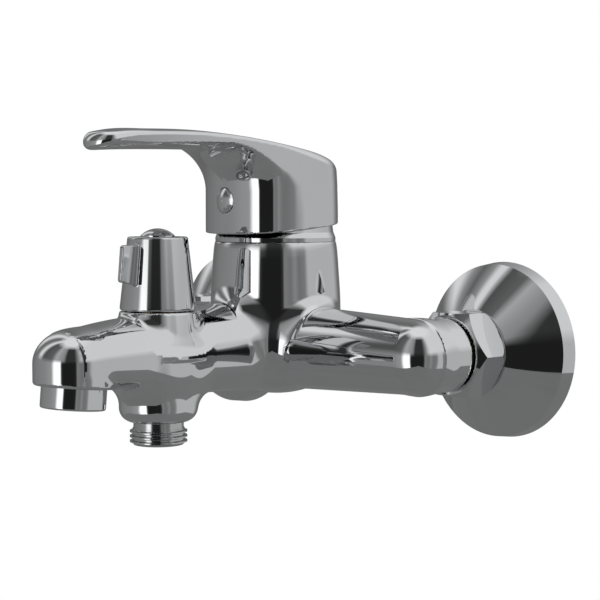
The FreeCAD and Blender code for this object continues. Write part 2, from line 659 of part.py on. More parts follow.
def dome_cap():
    """Decorative ring on the casting, closed inward over the nut."""
    wall = 0.9
    return at_axis(turned([(DOME_R - wall, BODY_TOP), (DOME_R, BODY_TOP), (DOME_R, BODY_TOP + 1.5),
                           (DOME_SHOULDER_R + 0.35, BODY_TOP + 3.5),
                           (DOME_SHOULDER_R, DOME_SHOULDER_Z),
                           (DOME_SHOULDER_R - 0.9, DOME_TOP_Z - 0.8, DOME_SHOULDER_R - 3.2, DOME_TOP_Z),
                           (DOME_MOUTH_R, DOME_TOP_Z), (DOME_MOUTH_R, DOME_TOP_Z - wall),
                           (DOME_SHOULDER_R - 3.4, DOME_TOP_Z - wall),
                           (DOME_SHOULDER_R - 1.6, DOME_TOP_Z - wall - 0.8,
                            DOME_SHOULDER_R - wall, DOME_SHOULDER_Z - 0.3),
                           (DOME_SHOULDER_R + 0.35 - wall, BODY_TOP + 3.5),
                           (DOME_R - wall, BODY_TOP + 1.5)]))


def lever_plan(grow=0.0):
    """Outline of the lever seen from above: skirt circle, straight sides, round tip."""
    skirt = SKIRT_R + grow
    tip = BLADE_TIP_R + grow
    tip_y = -(LEVER_REACH - BLADE_TIP_R)
    lean = math.asin((skirt - tip) / -tip_y)
    side = Vector(math.cos(lean), -math.sin(lean), 0)
    back = side * skirt
    front = Vector(0, tip_y, 0) + side * tip
    back_left = Vector(-back.x, back.y, 0)
    front_left = Vector(-front.x, front.y, 0)
    edges = [Part.Arc(back, Vector(0, skirt, 0), back_left).toShape(),
             Part.LineSegment(back_left, front_left).toShape(),
             Part.Arc(front_left, Vector(0, tip_y - tip, 0), front).toShape(),
             Part.LineSegment(front, back).toShape()]
    return Part.Wire(edges)


def neck_plan(shrink=0.0):
    """Outline of the lever's neck: the skirt circle at the back, blunter in front."""
    radius = SKIRT_R - 0.4 - shrink
    front = -(NECK_FRONT - shrink)
    shoulder_y = -6.0
    corner = math.sqrt(0.5) * (SKIRT_R + NECK_CORNER - shrink)
    right = Vector(math.sqrt(radius ** 2 - shoulder_y ** 2), shoulder_y, 0)
    points = [right, Vector(corner, -corner, 0), Vector(0, front, 0),
              Vector(-corner, -corner, 0), Vector(-right.x, right.y, 0)]
    curve = Part.BSplineCurve()
    tangent = Vector(shoulder_y / radius, -right.x / radius, 0)
    curve.interpolate(points, InitialTangent=tangent, FinalTangent=Vector(tangent.x, -tangent.y, 0))
    rest = Part.Arc(points[-1], Vector(0, radius, 0), points[0])
    return Part.Wire([curve.toShape(), rest.toShape()])


def side_strip(points, low_points, half_width):
    """Slab across X between two curves in the YZ plane (y from the cartridge axis, z)."""
    upper = Part.BSplineCurve()
    upper.interpolate([Vector(-half_width, y, z) for y, z in points])
    lower = Part.BSplineCurve()
    lower.interpolate([Vector(-half_width, y, z) for y, z in low_points])
    start = Part.LineSegment(upper.value(upper.LastParameter), lower.value(lower.LastParameter))
    end = Part.LineSegment(lower.value(lower.FirstParameter), upper.value(upper.FirstParameter))
    wire = Part.Wire([upper.toShape(), start.toShape(), lower.toShape(), end.toShape()])
    return Part.Face(wire).extrude(Vector(2 * half_width, 0, 0))


def lever_line(from_tip, from_axis):
    """Points (y from the cartridge axis, z) of a line along the lever. The first list is
    measured back from the blade's tip, the second from the axis."""
    return [(back - LEVER_REACH, z) for back, z in from_tip] + from_axis


def lever():
    """Lever shell: hood and blade over a round neck, hollow below, with the spindle socket."""
    top_line = lever_line([(-2.7, 76.0), (2.9, 79.3), (8.3, 80.5), (25.1, 81.3), (43.5, 81.3)],
                          [(-32.1, 80.2), (-13.2, 77.4), (6.5, 73.5), (20.0, 70.2), (26.0, 68.0)])
    band_line = lever_line([(-2.7, 74.2), (10.7, 75.2), (32.3, 76.0), (43.5, 76.0)],
                           [(-34.9, 74.7), (-25.8, 72.6), (-17.8, 69.2), (-12.0, 64.8),
                            (-7.1, 58.8), (-4.0, 52.5), (-2.0, 40.0)])
    back = [(26.0, 68.0), (27.0, 40.0)]
    upper = Part.BSplineCurve()
    upper.interpolate([Vector(-40, y, z) for y, z in top_line])
    lower = Part.BSplineCurve()
    lower.interpolate([Vector(-40, y, z) for y, z in band_line])
    corner = Vector(-40, back[1][0], back[1][1])
    end = Vector(-40, *band_line[-1])
    tip_low = Vector(-40, *band_line[0])
    tip_high = Vector(-40, *top_line[0])
    wire = Part.Wire([upper.toShape(),
                      Part.LineSegment(Vector(-40, *top_line[-1]), corner).toShape(),
                      Part.LineSegment(corner, end).toShape(),
                      lower.toShape(),
                      Part.LineSegment(tip_low, tip_high).toShape()])
    slab = Part.Face(wire).extrude(Vector(80, 0, 0))
    hood = Part.Face(lever_plan()).extrude(Vector(0, 0, 100)).common(slab)
    neck_roof = [(-34.0, 74.5), (-12.0, 70.5), (6.0, 66.0), (26.0, 60.0)]
    roof = side_strip(neck_roof, [(-34.0, 40.0), (-12.0, 40.0), (6.0, 40.0), (26.0, 40.0)], 40.0)
    neck = Part.Face(neck_plan()).extrude(Vector(0, 0, 100)).common(roof)
    shape = hood.fuse(neck).removeSplitter()
    shape = shape.fuse(blade_flare(shape)).removeSplitter()
    shape = shape.cut(below_skirt())
    shape = shape.cut(lever_hollow())
    shape = shape.fuse(spindle_socket()).removeSplitter()
    shape = at_axis(shape)
    return shape.cut(lever_holes()).removeSplitter()


def blade_flare(shape):
    """Web under the blade root, hollow in front like the inside of a fillet."""
    radius = BLADE_FLARE_R
    top = 75.0
    block = box(-13.0, 13.0, -NECK_FRONT - radius, -NECK_FRONT + 2.0, top - radius - 1.0, top)
    hollow = Part.makeCylinder(radius, 40, Vector(-20, -NECK_FRONT - radius, top - radius - 1.0), ALONG_X)
    return block.cut(hollow)


def below_skirt():
    """Half space under the sloping lower edge of the skirt."""
    block = box(-60, 60, -140, 60, -60, 0)
    block.rotate(Vector(0, 0, 0), ALONG_X, math.degrees(math.atan(SKIRT_SLOPE)))
    block.translate(Vector(0, 0, SKIRT_BOTTOM_Z))
    return block


def lever_hollow():
    """Room inside the lever for the dome and the cartridge top."""
    room = Part.Face(neck_plan(SKIRT_WALL)).extrude(Vector(0, 0, LEVER_CEILING_Z))
    return room.fuse(cylinder(DOME_SHOULDER_R + 2 * LOOSE, 0, LEVER_CEILING_Z, 0, -1.6))


def spindle_socket():
    """Boss from the lever's roof down round the spindle, and the web to its front."""
    boss = cylinder(7.4, 18.6, 34.0)
    boss = moved(tilted_with_spindle(boss), y=BODY_REACH)
    web = Part.makeCylinder(5.8, NECK_FRONT - 7.0, Vector(0, -NECK_FRONT + 1.0, BUTTON_Z), ALONG_Y)
    inside = Part.Face(neck_plan(SKIRT_WALL / 2)).extrude(Vector(0, 0, 68.0))
    return boss.fuse(web).common(inside)


def screw_axis():
    """Start (at the button) and direction (towards the spindle) of the set screw."""
    lean = math.radians(SPINDLE_TILT)
    start = Vector(0, AXIS_Y - NECK_FRONT + BUTTON_DEPTH, BUTTON_Z)
    return start, Vector(0, math.cos(lean), math.sin(lean))


def lever_holes():
    """Square socket, set screw hole and button recess."""
    half = SPINDLE_WIDTH / 2
    socket = box(-half, half, -half, half, 10.0, SPINDLE_ABOVE + 0.2)
    start, direction = screw_axis()
    screw = Part.makeCylinder(2.5, NECK_FRONT, start - direction * 1.0, direction)
    reach = Part.makeCylinder(2.5, NECK_FRONT - 6.0, start, direction)
    recess_start = Vector(0, AXIS_Y - NECK_FRONT - 4.0, BUTTON_Z)
    recess = Part.makeCylinder(BUTTON_R, BUTTON_DEPTH + 4.0, recess_start, ALONG_Y)
    return Part.makeCompound([tilted_with_spindle(socket), screw.common(reach), recess])


def set_screw():
    """Hexagon socket set screw that bites on the spindle."""
    lean = math.radians(SPINDLE_TILT)
    start, direction = screw_axis()
    foot = Vector(0, AXIS_Y, PIVOT_Z)
    axis = Vector(0, -math.sin(lean), math.cos(lean))
    offset = (start - foot) - axis * (start - foot).dot(axis)
    to_flat = offset.Length - SPINDLE_WIDTH / 2
    length = 10.0
    low = start + direction * (to_flat - length)
    rod = Part.makeCylinder(2.5, length, low, direction)
    key = hexagon(2.5, -1.0, 3.0)
    key.rotate(Vector(0, 0, 0), ALONG_X, -90 + SPINDLE_TILT)
    key.translate(low)
    return rod.cut(key)


def index_button():
    """Chromed plug with a low dome, pressed into the front of the lever."""
    shape = turned([(0, 0), (BUTTON_R, 0), (BUTTON_R, BUTTON_DEPTH),
                    dome(BUTTON_R, BUTTON_DOME, BUTTON_DEPTH)])
    shape.rotate(Vector(0, 0, 0), ALONG_X, 90)
    shape.translate(Vector(0, AXIS_Y - NECK_FRONT + BUTTON_DEPTH, BUTTON_Z))
    return shape


def spline(radius, low, high):
    """Toothed shaft about Z with pointed teeth."""
    points = []
    for i in range(2 * SPLINE_TEETH + 1):
        angle = math.pi * i / SPLINE_TEETH
        reach = radius if i % 2 == 0 else radius - SPLINE_DEPTH
        points.append(Vector(reach * math.cos(angle), reach * math.sin(angle), low))
    return Part.Face(Part.makePolygon(points)).extrude(Vector(0, 0, high - low))


def diverter_bonnet():
    """Brass headwork screwed into the diverter chamber; the stem turns in it."""
    stem = STEM_R + 1.0 + RUNNING
    ledge = SEAT_TOP_Z - BONNET_FLANGE
    return at_diverter(turned([(stem, 8.5), (DIVERTER_CHAMBER_R, 8.5), (DIVERTER_CHAMBER_R, ledge),
                               (BONNET_FLANGE_R, ledge), (BONNET_FLANGE_R, SEAT_TOP_Z),
                               (8.0, SEAT_TOP_Z), (8.0, BONNET_TOP_Z), (stem, BONNET_TOP_Z)]))


def diverter_stem():
    """Brass stem: drives the moving disc below, splined for the knob above."""
    low = DIVERTER_FLOOR_Z + 1.0 + 2 * DIVERTER_DISC
    shape = turned([(0, low), (DIVERTER_DISC_R - 0.8, low), (DIVERTER_DISC_R - 0.8, low + 2.5),
                    (STEM_R + 1.0, low + 2.5), (STEM_R + 1.0, BONNET_TOP_Z - 5.2),
                    (STEM_R + 0.1, BONNET_TOP_Z - 5.2), (STEM_R + 0.1, BONNET_TOP_Z - 3.6),
                    (STEM_R + 1.0, BONNET_TOP_Z - 3.6), (STEM_R + 1.0, BONNET_TOP_Z - 0.4),
                    (0, BONNET_TOP_Z - 0.4)])
    shape = shape.fuse(spline(STEM_R, BONNET_TOP_Z - 0.5, STEM_TOP_Z))
    shape = shape.fuse(stem_key(0.0, low))
    hole = cylinder(KNOB_SCREW_R, STEM_TOP_Z - 8.0, STEM_TOP_Z + 1)
    return at_diverter(shape.cut(hole))


def stem_seal():
    """Rubber ring in the groove of the stem."""
    return at_diverter(ring(STEM_R + 0.1, STEM_R + 1.0, BONNET_TOP_Z - 5.1, BONNET_TOP_Z - 3.7))


def diverter_moving_disc():
    """Ceramic disc turned by the stem: a window open to its rim, and a channel below that
    joins the two ports an eighth of a turn the other way."""
    low = DIVERTER_FLOOR_Z + 1.0 + DIVERTER_DISC
    high = low + DIVERTER_DISC
    shape = cylinder(DIVERTER_DISC_R - 0.2, low, high)
    port = DIVERTER_PORT_R
    window = box(-port, port, DIVERTER_PORT_OFFSET, DIVERTER_DISC_R + 1, low - 1, high + 1)
    window = window.fuse(cylinder(port, low - 1, high + 1, 0, DIVERTER_PORT_OFFSET))
    window.rotate(Vector(0, 0, 0), UP, DIVERTER_SWING)
    channel = box(-port, port, -DIVERTER_PORT_OFFSET, DIVERTER_PORT_OFFSET, low - 1, low + 1.2)
    ends = [cylinder(port, low - 1, low + 1.2, 0, side * DIVERTER_PORT_OFFSET) for side in (-1, 1)]
    channel = channel.fuse(ends)
    channel.rotate(Vector(0, 0, 0), UP, -DIVERTER_SWING)
    return at_diverter(shape.cut(window).cut(channel).cut(stem_key(0.05, high)))


def stem_key(grow, high):
    """Bar across the stem's foot that drives the moving disc; its top stands at high + 0.5."""
    half = 2.0 + grow
    reach = DIVERTER_DISC_R - 1.8 + grow
    key = box(-half, half, -reach, reach, high - 0.8 - grow, high + 0.5)
    key.rotate(Vector(0, 0, 0), UP, -DIVERTER_SWING)
    return key


def diverter_port_tools(low, high):
    """The two ports through the fixed disc and its seal."""
    return [cylinder(DIVERTER_PORT_R, low, high, 0, DIVERTER_PORT_OFFSET),
            cylinder(DIVERTER_PORT_R, low, high, 0, -DIVERTER_PORT_OFFSET)]


def diverter_fixed_disc():
    """Ceramic disc with one port from the mixer and one to the hose."""
    low = DIVERTER_FLOOR_Z + 1.0
    shape = cylinder(DIVERTER_DISC_R, low, low + DIVERTER_DISC)
    ports = diverter_port_tools(low - 1, low + DIVERTER_DISC + 1)
    return at_diverter(shape.cut(Part.makeCompound(ports)))


def diverter_disc_seal():
    """Rubber pad under the fixed disc."""
    low = DIVERTER_FLOOR_Z
    shape = cylinder(DIVERTER_DISC_R, low, low + 1.0)
    ports = diverter_port_tools(low - 1, low + 2.0)
    return at_diverter(shape.cut(Part.makeCompound(ports)))


def knob_radius(z):
    """Outer radius of the knob at a height."""
    share = (z - KNOB_BOTTOM_Z) / KNOB_HEIGHT
    return KNOB_BOTTOM_R + (KNOB_TOP_R - KNOB_BOTTOM_R) * share


def diverter_knob():
    """Hollow conical knob with one thin upright fin and a splined hub."""
    top = KNOB_BOTTOM_Z + KNOB_HEIGHT
    shoulder = top - KNOB_TOP_EDGE
    foot = KNOB_BOTTOM_Z + KNOB_FOOT_ROUND
    bend = KNOB_FOOT_ROUND * (1 - math.sqrt(0.5))
    shape = turned([(0, KNOB_BOTTOM_Z), (KNOB_BOTTOM_R - KNOB_FOOT_ROUND, KNOB_BOTTOM_Z),
                    (KNOB_BOTTOM_R - bend, KNOB_BOTTOM_Z + bend, knob_radius(foot), foot),
                    (knob_radius(shoulder), shoulder), (KNOB_TOP_R - KNOB_TOP_EDGE, top), (0, top)])
    shape = shape.fuse(knob_fin())
    ceiling = top - KNOB_TOP_THICKNESS
    cavity = turned([(0, KNOB_BOTTOM_Z - 1), (knob_radius(KNOB_BOTTOM_Z) - KNOB_WALL, KNOB_BOTTOM_Z - 1),
                     (knob_radius(ceiling) - KNOB_WALL, ceiling), (0, ceiling)])
    hub = cylinder(HUB_R, BONNET_TOP_Z + 0.6, ceiling + 1)
    shape = shape.cut(cavity.cut(hub))
    tools = [spline(STEM_R + 0.05, KNOB_BOTTOM_Z - 1, STEM_TOP_Z + 0.3), cylinder(2.1, STEM_TOP_Z, top + 1),
             cylinder(CAP_PLUG_R, top - KNOB_SCREW_DEPTH, top + 1), cylinder(CAP_R, top - 1.0, top + 1)]
    return at_diverter(shape.cut(Part.makeCompound(tools)))


def knob_fin():
    """Thumb fin, its outer edge parallel to the cone."""
    root = KNOB_TOP_R - KNOB_WALL / 2
    outline = [(root, FIN_ROOT_Z), (knob_radius(FIN_ROOT_Z), FIN_ROOT_Z),
               (knob_radius(FIN_TIP_Z) + FIN_REACH, FIN_TIP_Z),
               (knob_radius(FIN_TOP_Z) + FIN_REACH, FIN_TOP_Z), (root, FIN_TOP_Z), (root, FIN_ROOT_Z)]
    points = [Vector(-FIN_THICKNESS / 2, -out, z) for out, z in outline]
    fin = Part.Face(Part.makePolygon(points)).extrude(Vector(FIN_THICKNESS, 0, 0))
    fin.rotate(Vector(0, 0, 0), UP, FIN_TURN)
    return fin


def knob_screw():
    """Pan head screw that holds the knob on its stem."""
    top = KNOB_BOTTOM_Z + KNOB_HEIGHT
    head_low = top - KNOB_SCREW_DEPTH
    shape = turned([(0, STEM_TOP_Z - 7.5), (KNOB_SCREW_R, STEM_TOP_Z - 7.5), (KNOB_SCREW_R, head_low),
                    (3.6, head_low), (3.6, head_low + 1.6), (3.0, head_low + 2.4), (0, head_low + 2.4)])
    slots = [box(-2.4, 2.4, -0.4, 0.4, head_low + 1.0, head_low + 3),
             box(-0.4, 0.4, -2.4, 2.4, head_low + 1.0, head_low + 3)]
    return at_diverter(shape.cut(Part.makeCompound(slots)))


def knob_cap():
    """Domed chrome plug on top of the knob."""
    top = KNOB_BOTTOM_Z + KNOB_HEIGHT
    shape = turned([(0, top - 2.2), (CAP_PLUG_R, top - 2.2), (CAP_PLUG_R, top - 1.0), (CAP_R, top - 1.0),
                    (CAP_R, top + 0.4), dome(CAP_R, CAP_DOME - 0.4, top + 0.4)])
    return at_diverter(shape)


def hose_nipple():
    """Nipple for the shower hose: shank in the boss, neck, 1/2 inch thread."""
    face = HOSE_BOSS_BOTTOM_Z
    bottom = face - NIPPLE_LENGTH
    thread_low = bottom + 0.6
    thread_high = thread_low + 3 * PIPE_HALF[2]
    outline = [(NIPPLE_BORE_R, bottom), (PIPE_HALF[0] - PIPE_HALF[1] - 0.4, bottom)]
    outline = outline + thread_outline(PIPE_HALF, thread_low, thread_high)
    outline = outline + [(PIPE_HALF[0] - PIPE_HALF[1] - 0.3, thread_high), (PIPE_HALF[0] - 1.3, face),
                         (NIPPLE_SHANK_R, face), (NIPPLE_SHANK_R, face + NIPPLE_SHANK - 1.6),
                         (NIPPLE_BORE_R, face + NIPPLE_SHANK - 1.6)]
    return at_diverter(turned(outline))


def nipple_seal():
    """Rubber washer above the nipple's shank."""
    face = HOSE_BOSS_BOTTOM_Z + NIPPLE_SHANK
    return at_diverter(ring(NIPPLE_BORE_R, NIPPLE_SHANK_R - 0.1, face - 1.6, face - 0.1))


def aerator_housing():
    """Chromed ring screwed into the nose; its lip holds the insert."""
    inner = AERATOR_R - AERATOR_WALL
    bottom = -AERATOR_HEIGHT
    return at_nozzle(turned([(inner - 1.2, bottom), (AERATOR_R - 0.8, bottom),
                             (AERATOR_R - 0.23, bottom + 0.23, AERATOR_R, bottom + 0.8),
                             (AERATOR_R, 0), (AERATOR_THREAD_R, 0),
                             (AERATOR_THREAD_R, AERATOR_THREAD), (inner, AERATOR_THREAD),
                             (inner, bottom + 1.2), (inner - 1.2, bottom + 1.2)]))


def aerator_insert():
    """Plastic flow straightener with a grid of holes."""
    radius = AERATOR_R - AERATOR_WALL - 0.05
    low = -AERATOR_HEIGHT + 1.2
    shape = cylinder(radius, low, low + 7.5)
    holes = [cylinder(1.05, low - 1, low + 9)]
    for row, count in ((3.0, 6), (5.8, 12), (8.3, 18)):
        for i in range(count):
            angle = 2 * math.pi * i / count
            holes.append(cylinder(0.95, low - 1, low + 9, row * math.cos(angle), row * math.sin(angle)))
    return at_nozzle(shape.cut(Part.makeCompound(holes)))


def aerator_screen():
    """Round steel strainer on the insert."""
    radius = AERATOR_R - AERATOR_WALL - 0.1
    low = -AERATOR_HEIGHT + 8.7
    shape = cylinder(radius, low, low + 0.5)
    holes = []
    pitch = 2.0
    for i in range(-4, 5):
        for j in range(-4, 5):
            if math.hypot(i, j) * pitch < radius - 1.2:
                holes.append(cylinder(0.7, low - 1, low + 2, i * pitch, j * pitch))
    return at_nozzle(shape.cut(Part.makeCompound(holes)))


def aerator_gasket():
    """Rubber ring between the aerator and the nose."""
    return at_nozzle(ring(7.5, AERATOR_THREAD_R - 0.1, AERATOR_THREAD, AERATOR_THREAD + 1.5))


def main():
    """Write every piece."""
    os.makedirs("parts", exist_ok=True)
    single_pieces = [body_casting, cartridge_housing, cartridge_base, base_seals, fixed_disc,
                     moving_disc, disc_driver, swivel_rotor, lever_pin, lever_spindle,
                     retaining_nut, dome_cap, lever, set_screw, index_button, diverter_bonnet,
                     diverter_stem, stem_seal, diverter_moving_disc, diverter_fixed_disc,
                     diverter_disc_seal, diverter_knob, knob_screw, knob_cap, hose_nipple,
                     nipple_seal, aerator_housing, aerator_insert, aerator_screen,
                     aerator_gasket]
    for piece in single_pieces:
        save(piece.__name__, piece())
    for name, side in SIDES.items():
        save("tailpiece_" + name, along_wall_axis(tailpiece(), side, ELBOW_Y))
        save("union_nut_" + name, along_wall_axis(union_nut(), side, NUT_Y))
        save("union_washer_" + name, along_wall_axis(union_washer(), side, WASHER_Y))
        save("eccentric_" + name, along_wall_axis(eccentric(), side, ECCENTRIC_Y))
        save("escutcheon_" + name, along_wall_axis(escutcheon(), side, 0.0))


main()
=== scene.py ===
"""Looks for a wall mounted bath and shower mixer: cast skins with their fillets, turned
pieces, plated and moulded finishes, and a pale studio.

Shapes are worked out in millimetres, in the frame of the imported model, and put into meshes
in metres. A skin is the surface where a distance function is zero: negative inside the
metal, positive outside.
"""
import itertools
import json
import math
import bpy
import numpy as np
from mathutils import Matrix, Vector


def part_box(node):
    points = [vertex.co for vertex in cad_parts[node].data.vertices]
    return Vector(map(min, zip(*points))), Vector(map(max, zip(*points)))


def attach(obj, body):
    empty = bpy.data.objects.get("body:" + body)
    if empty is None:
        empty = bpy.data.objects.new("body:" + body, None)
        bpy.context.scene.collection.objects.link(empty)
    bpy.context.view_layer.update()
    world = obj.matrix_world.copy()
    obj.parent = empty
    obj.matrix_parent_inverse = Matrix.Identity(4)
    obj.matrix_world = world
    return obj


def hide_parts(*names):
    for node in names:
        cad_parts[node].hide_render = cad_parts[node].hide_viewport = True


MM = 0.001

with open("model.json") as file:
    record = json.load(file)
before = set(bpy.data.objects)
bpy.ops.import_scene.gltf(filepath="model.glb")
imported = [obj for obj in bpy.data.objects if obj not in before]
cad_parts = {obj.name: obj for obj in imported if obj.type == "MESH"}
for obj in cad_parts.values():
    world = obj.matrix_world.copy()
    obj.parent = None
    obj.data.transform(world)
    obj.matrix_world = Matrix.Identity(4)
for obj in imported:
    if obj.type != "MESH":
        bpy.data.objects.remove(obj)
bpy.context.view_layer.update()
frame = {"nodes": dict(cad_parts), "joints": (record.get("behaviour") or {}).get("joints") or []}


def joint_place(name):
    """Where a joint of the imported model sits, in millimetres."""
    place = next(j["pos_m"] for j in frame["joints"] if j["name"] == name)
    return [c / MM for c in place]


# ---- places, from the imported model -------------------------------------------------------
AXIS_Y = joint_place("lever_swivel")[1]
DIVERTER_Y = joint_place("diverter_turn")[1]
UNION_X = joint_place("nut_right_spin")[0]
NOSE_R = 14.35
NUT_GAP = 1.1              # between elbow and union nut
KNOB_GAP = 0.5             # between seat and knob
NOZZLE_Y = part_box("body_casting")[0].y / MM + NOSE_R
ELBOW_FACE_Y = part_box("union_nut_right")[0].y / MM - NUT_GAP
HOUSING_TOP_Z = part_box("body_casting")[1].z / MM
BOSS_FACE_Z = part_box("body_casting")[0].z / MM
KNOB_LOW_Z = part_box("diverter_knob")[0].z / MM
KNOB_HIGH_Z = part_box("diverter_knob")[1].z / MM
SEAT_TOP_Z = KNOB_LOW_Z - KNOB_GAP


# ---- distance functions ------------------------------------------------------------------
def rounded_union(a, b, radius):
    """Union of two solids. Inside the corner, where both distances are under the radius,
    it is the radius less the length of (radius - a, radius - b): a fillet."""
    corner = np.hypot(np.maximum(radius - a, 0), np.maximum(radius - b, 0))
    return np.maximum(radius, np.minimum(a, b)) - corner


def rounded_common(a, b, radius):
    """What two solids share, with its edge rounded: the fillet of their outsides."""
    return -rounded_union(-a, -b, radius)


def smooth_curve(points):
    """Curve through (t, value) pairs: a cubic between neighbours, whose slope at each pair
    is the mean slope around it. Returned as a function of t."""
    t, value = np.array(points, float).T
    slope = np.gradient(value, t)
    fine = np.linspace(t[0], t[-1], 3000)
    k = np.clip(np.searchsorted(t, fine, side="right") - 1, 0, len(t) - 2)
    h = t[k + 1] - t[k]
    s = (fine - t[k]) / h
    table = ((1 + 2 * s) * (1 - s) ** 2 * value[k] + s * (1 - s) ** 2 * h * slope[k]
             + s * s * (3 - 2 * s) * value[k + 1] + s * s * (s - 1) * h * slope[k + 1])
    return lambda where: np.interp(where, fine, table)


def oval_distance(across, upward, half_width, half_height, power):
    """Distance from a superellipse: with g the power mean of across / half width and
    upward / half height, it is (g - 1) over the length of g's slope."""
    u = np.abs(across) / half_width
    v = np.abs(upward) / half_height
    g = np.maximum((u ** power + v ** power) ** (1 / power), 1e-6)
    slope = np.hypot((u / g) ** (power - 1) / half_width, (v / g) ** (power - 1) / half_height)
    return (g - 1) / np.maximum(slope, 1e-6)


ARM_MIDDLE_R = 16.5
ARM_END_R = 13.45
ARM_LEAN = math.atan((ARM_MIDDLE_R - ARM_END_R) / UNION_X)
ELBOW_R = ARM_END_R * math.cos(ARM_LEAN)
BARREL_FOOT_Z = 4.0
BARREL_FOOT_R = 25.3
BOWL_DEPTH = 19.5          # of the bowl that closes the barrel below
NOSE_SHOULDER_DROP = 1.0   # below the inlets' height, as is the next drop
AERATOR_SEAT_DROP = 9.4
NOSE_DOME = 12.1           # height of the nose over its shoulder
JET_LEAN_DEGREES = 5.0
SEAT_R = 14.0
SEAT_FLARE = 0.16          # how fast the seat widens downwards
BOSS_R = 14.4
BOSS_ROOT_DROP = 3.0

# fillets, where one part of the casting runs into another
ARM_FILLET = 5.5
SPOUT_FILLET = 6.5
SEAT_FILLET = 2.2
BOSS_FILLET = 7.0
NOSE_FILLET = 1.6

# rounded edges
ELBOW_EDGE = 0.7
SEAT_EDGE = 0.6
BOSS_EDGE = 5.2
NOSE_EDGE = 1.2
RIM_EDGE = 0.45

# bores that take the other pieces
CHAMBER_R = 20.3
CHAMBER_FLOOR_Z = 6.0
BONNET_R = 9.5
BONNET_DEPTH = 2.0         # below the inlets' height
BONNET_FLANGE_R = 10.72
BONNET_FLANGE = 1.5
UNION_BORE_R = 9.9
UNION_BORE_DEPTH = 8.0
NIPPLE_BORE_R = 8.8
NIPPLE_BORE_DEPTH = 7.0
AERATOR_BORE_R = 11.0
AERATOR_BORE_DEPTH = 6.5

BARREL = smooth_curve([(4.0, 25.3), (12.0, 25.22), (19.9, 25.0), (27.6, 24.5), (32.3, 24.2),
                       (35.4, 23.95), (38.5, 23.6), (40.0, 23.3), (44.0, 22.6)])
SPOUT_HALF = smooth_curve([(-10, 15.6), (4.7, 15.6), (25.6, 15.5), (43.6, 15.2), (60.6, 15.0),
                           (77.7, 14.6), (91.9, 13.9), (99.4, 13.2), (115, 11.6)])
SPOUT_TOP = smooth_curve([(-10, 18.6), (4.7, 18.6), (25.6, 17.6), (43.6, 15.6), (60.6, 14.6),
                          (77.7, 13.4), (91.9, 11.3), (99.4, 9.6), (115, 5.5)])
SPOUT_BOTTOM = smooth_curve([(-10, 16.3), (4.7, 16.3), (25.6, 16.1), (43.6, 15.2), (60.6, 13.8),
                             (70.0, 12.4), (77.7, 11.4), (85.0, 10.6), (91.9, 10.0),
                             (99.4, 9.4), (115, 8.0)])
SPOUT_MIDDLE_Z = -1.0


def arms_distance(x, y, z):
    """Tapered cross tube through both elbows, with a short leg from each towards the wall."""
    along = np.abs(x)
    from_axis = y - AXIS_Y
    tube_r = ARM_MIDDLE_R + (ARM_END_R - ARM_MIDDLE_R) * along / UNION_X
    cone = (np.hypot(from_axis, z) - tube_r) * math.cos(ARM_LEAN)
    past_end = along - UNION_X - ELBOW_R * math.sin(ARM_LEAN)
    ball = np.sqrt((along - UNION_X) ** 2 + from_axis ** 2 + z ** 2) - ELBOW_R
    tube = np.minimum(np.maximum(cone, past_end), ball)
    leg = np.hypot(along - UNION_X, z) - ELBOW_R
    leg = np.maximum(leg, -from_axis)
    elbow = np.minimum(rounded_union(tube, leg, 2.0), ball)
    return rounded_common(elbow, y - ELBOW_FACE_Y + 0 * x, ELBOW_EDGE)


def barrel_distance(x, y, z):
    """Barrel round the cartridge: radius as a curve of height, closed below by a bowl."""
    out = np.hypot(x, y - AXIS_Y)
    side = out - BARREL(z)
    bowl = oval_distance(out, BARREL_FOOT_Z - z, BARREL_FOOT_R, BOWL_DEPTH, 2.0)
    return np.where(z > BARREL_FOOT_Z, side, bowl)


def spout_distance(x, y, z):
    """Spout: a superellipse whose half width, top and bottom are curves of the way out
    from the cartridge axis, rounder above than below."""
    out = AXIS_Y - y
    half = SPOUT_HALF(out)
    up = z - SPOUT_MIDDLE_Z
    above = oval_distance(x, up, half, SPOUT_TOP(out) - SPOUT_MIDDLE_Z, 2.05)
    below = oval_distance(x, up, half, SPOUT_BOTTOM(out) + SPOUT_MIDDLE_Z, 2.5)
    tube = np.where(up > 0, above, below)
    front = out - (AXIS_Y - NOZZLE_Y + 4.0)
    return np.maximum(np.maximum(tube, front), -out)


def nose_distance(x, y, z):
    """Upright nose: an ellipsoid cap on a cylinder."""
    out = np.hypot(x, y - NOZZLE_Y)
    cap = oval_distance(out, z + NOSE_SHOULDER_DROP, NOSE_R, NOSE_DOME, 2.0)
    side = np.where(z > -NOSE_SHOULDER_DROP, cap, out - NOSE_R)
    return side


def jet_height(y, z):
    """Height over the aerator's seat, square to the jet, which leans from the wall."""
    lean = math.radians(JET_LEAN_DEGREES)
    return (y - NOZZLE_Y) * math.sin(lean) + (z + AERATOR_SEAT_DROP) * math.cos(lean)


def jet_out(x, y, z):
    """Distance from the jet's axis."""
    lean = math.radians(JET_LEAN_DEGREES)
    return np.hypot(x, (y - NOZZLE_Y) * math.cos(lean) - (z + AERATOR_SEAT_DROP) * math.sin(lean))


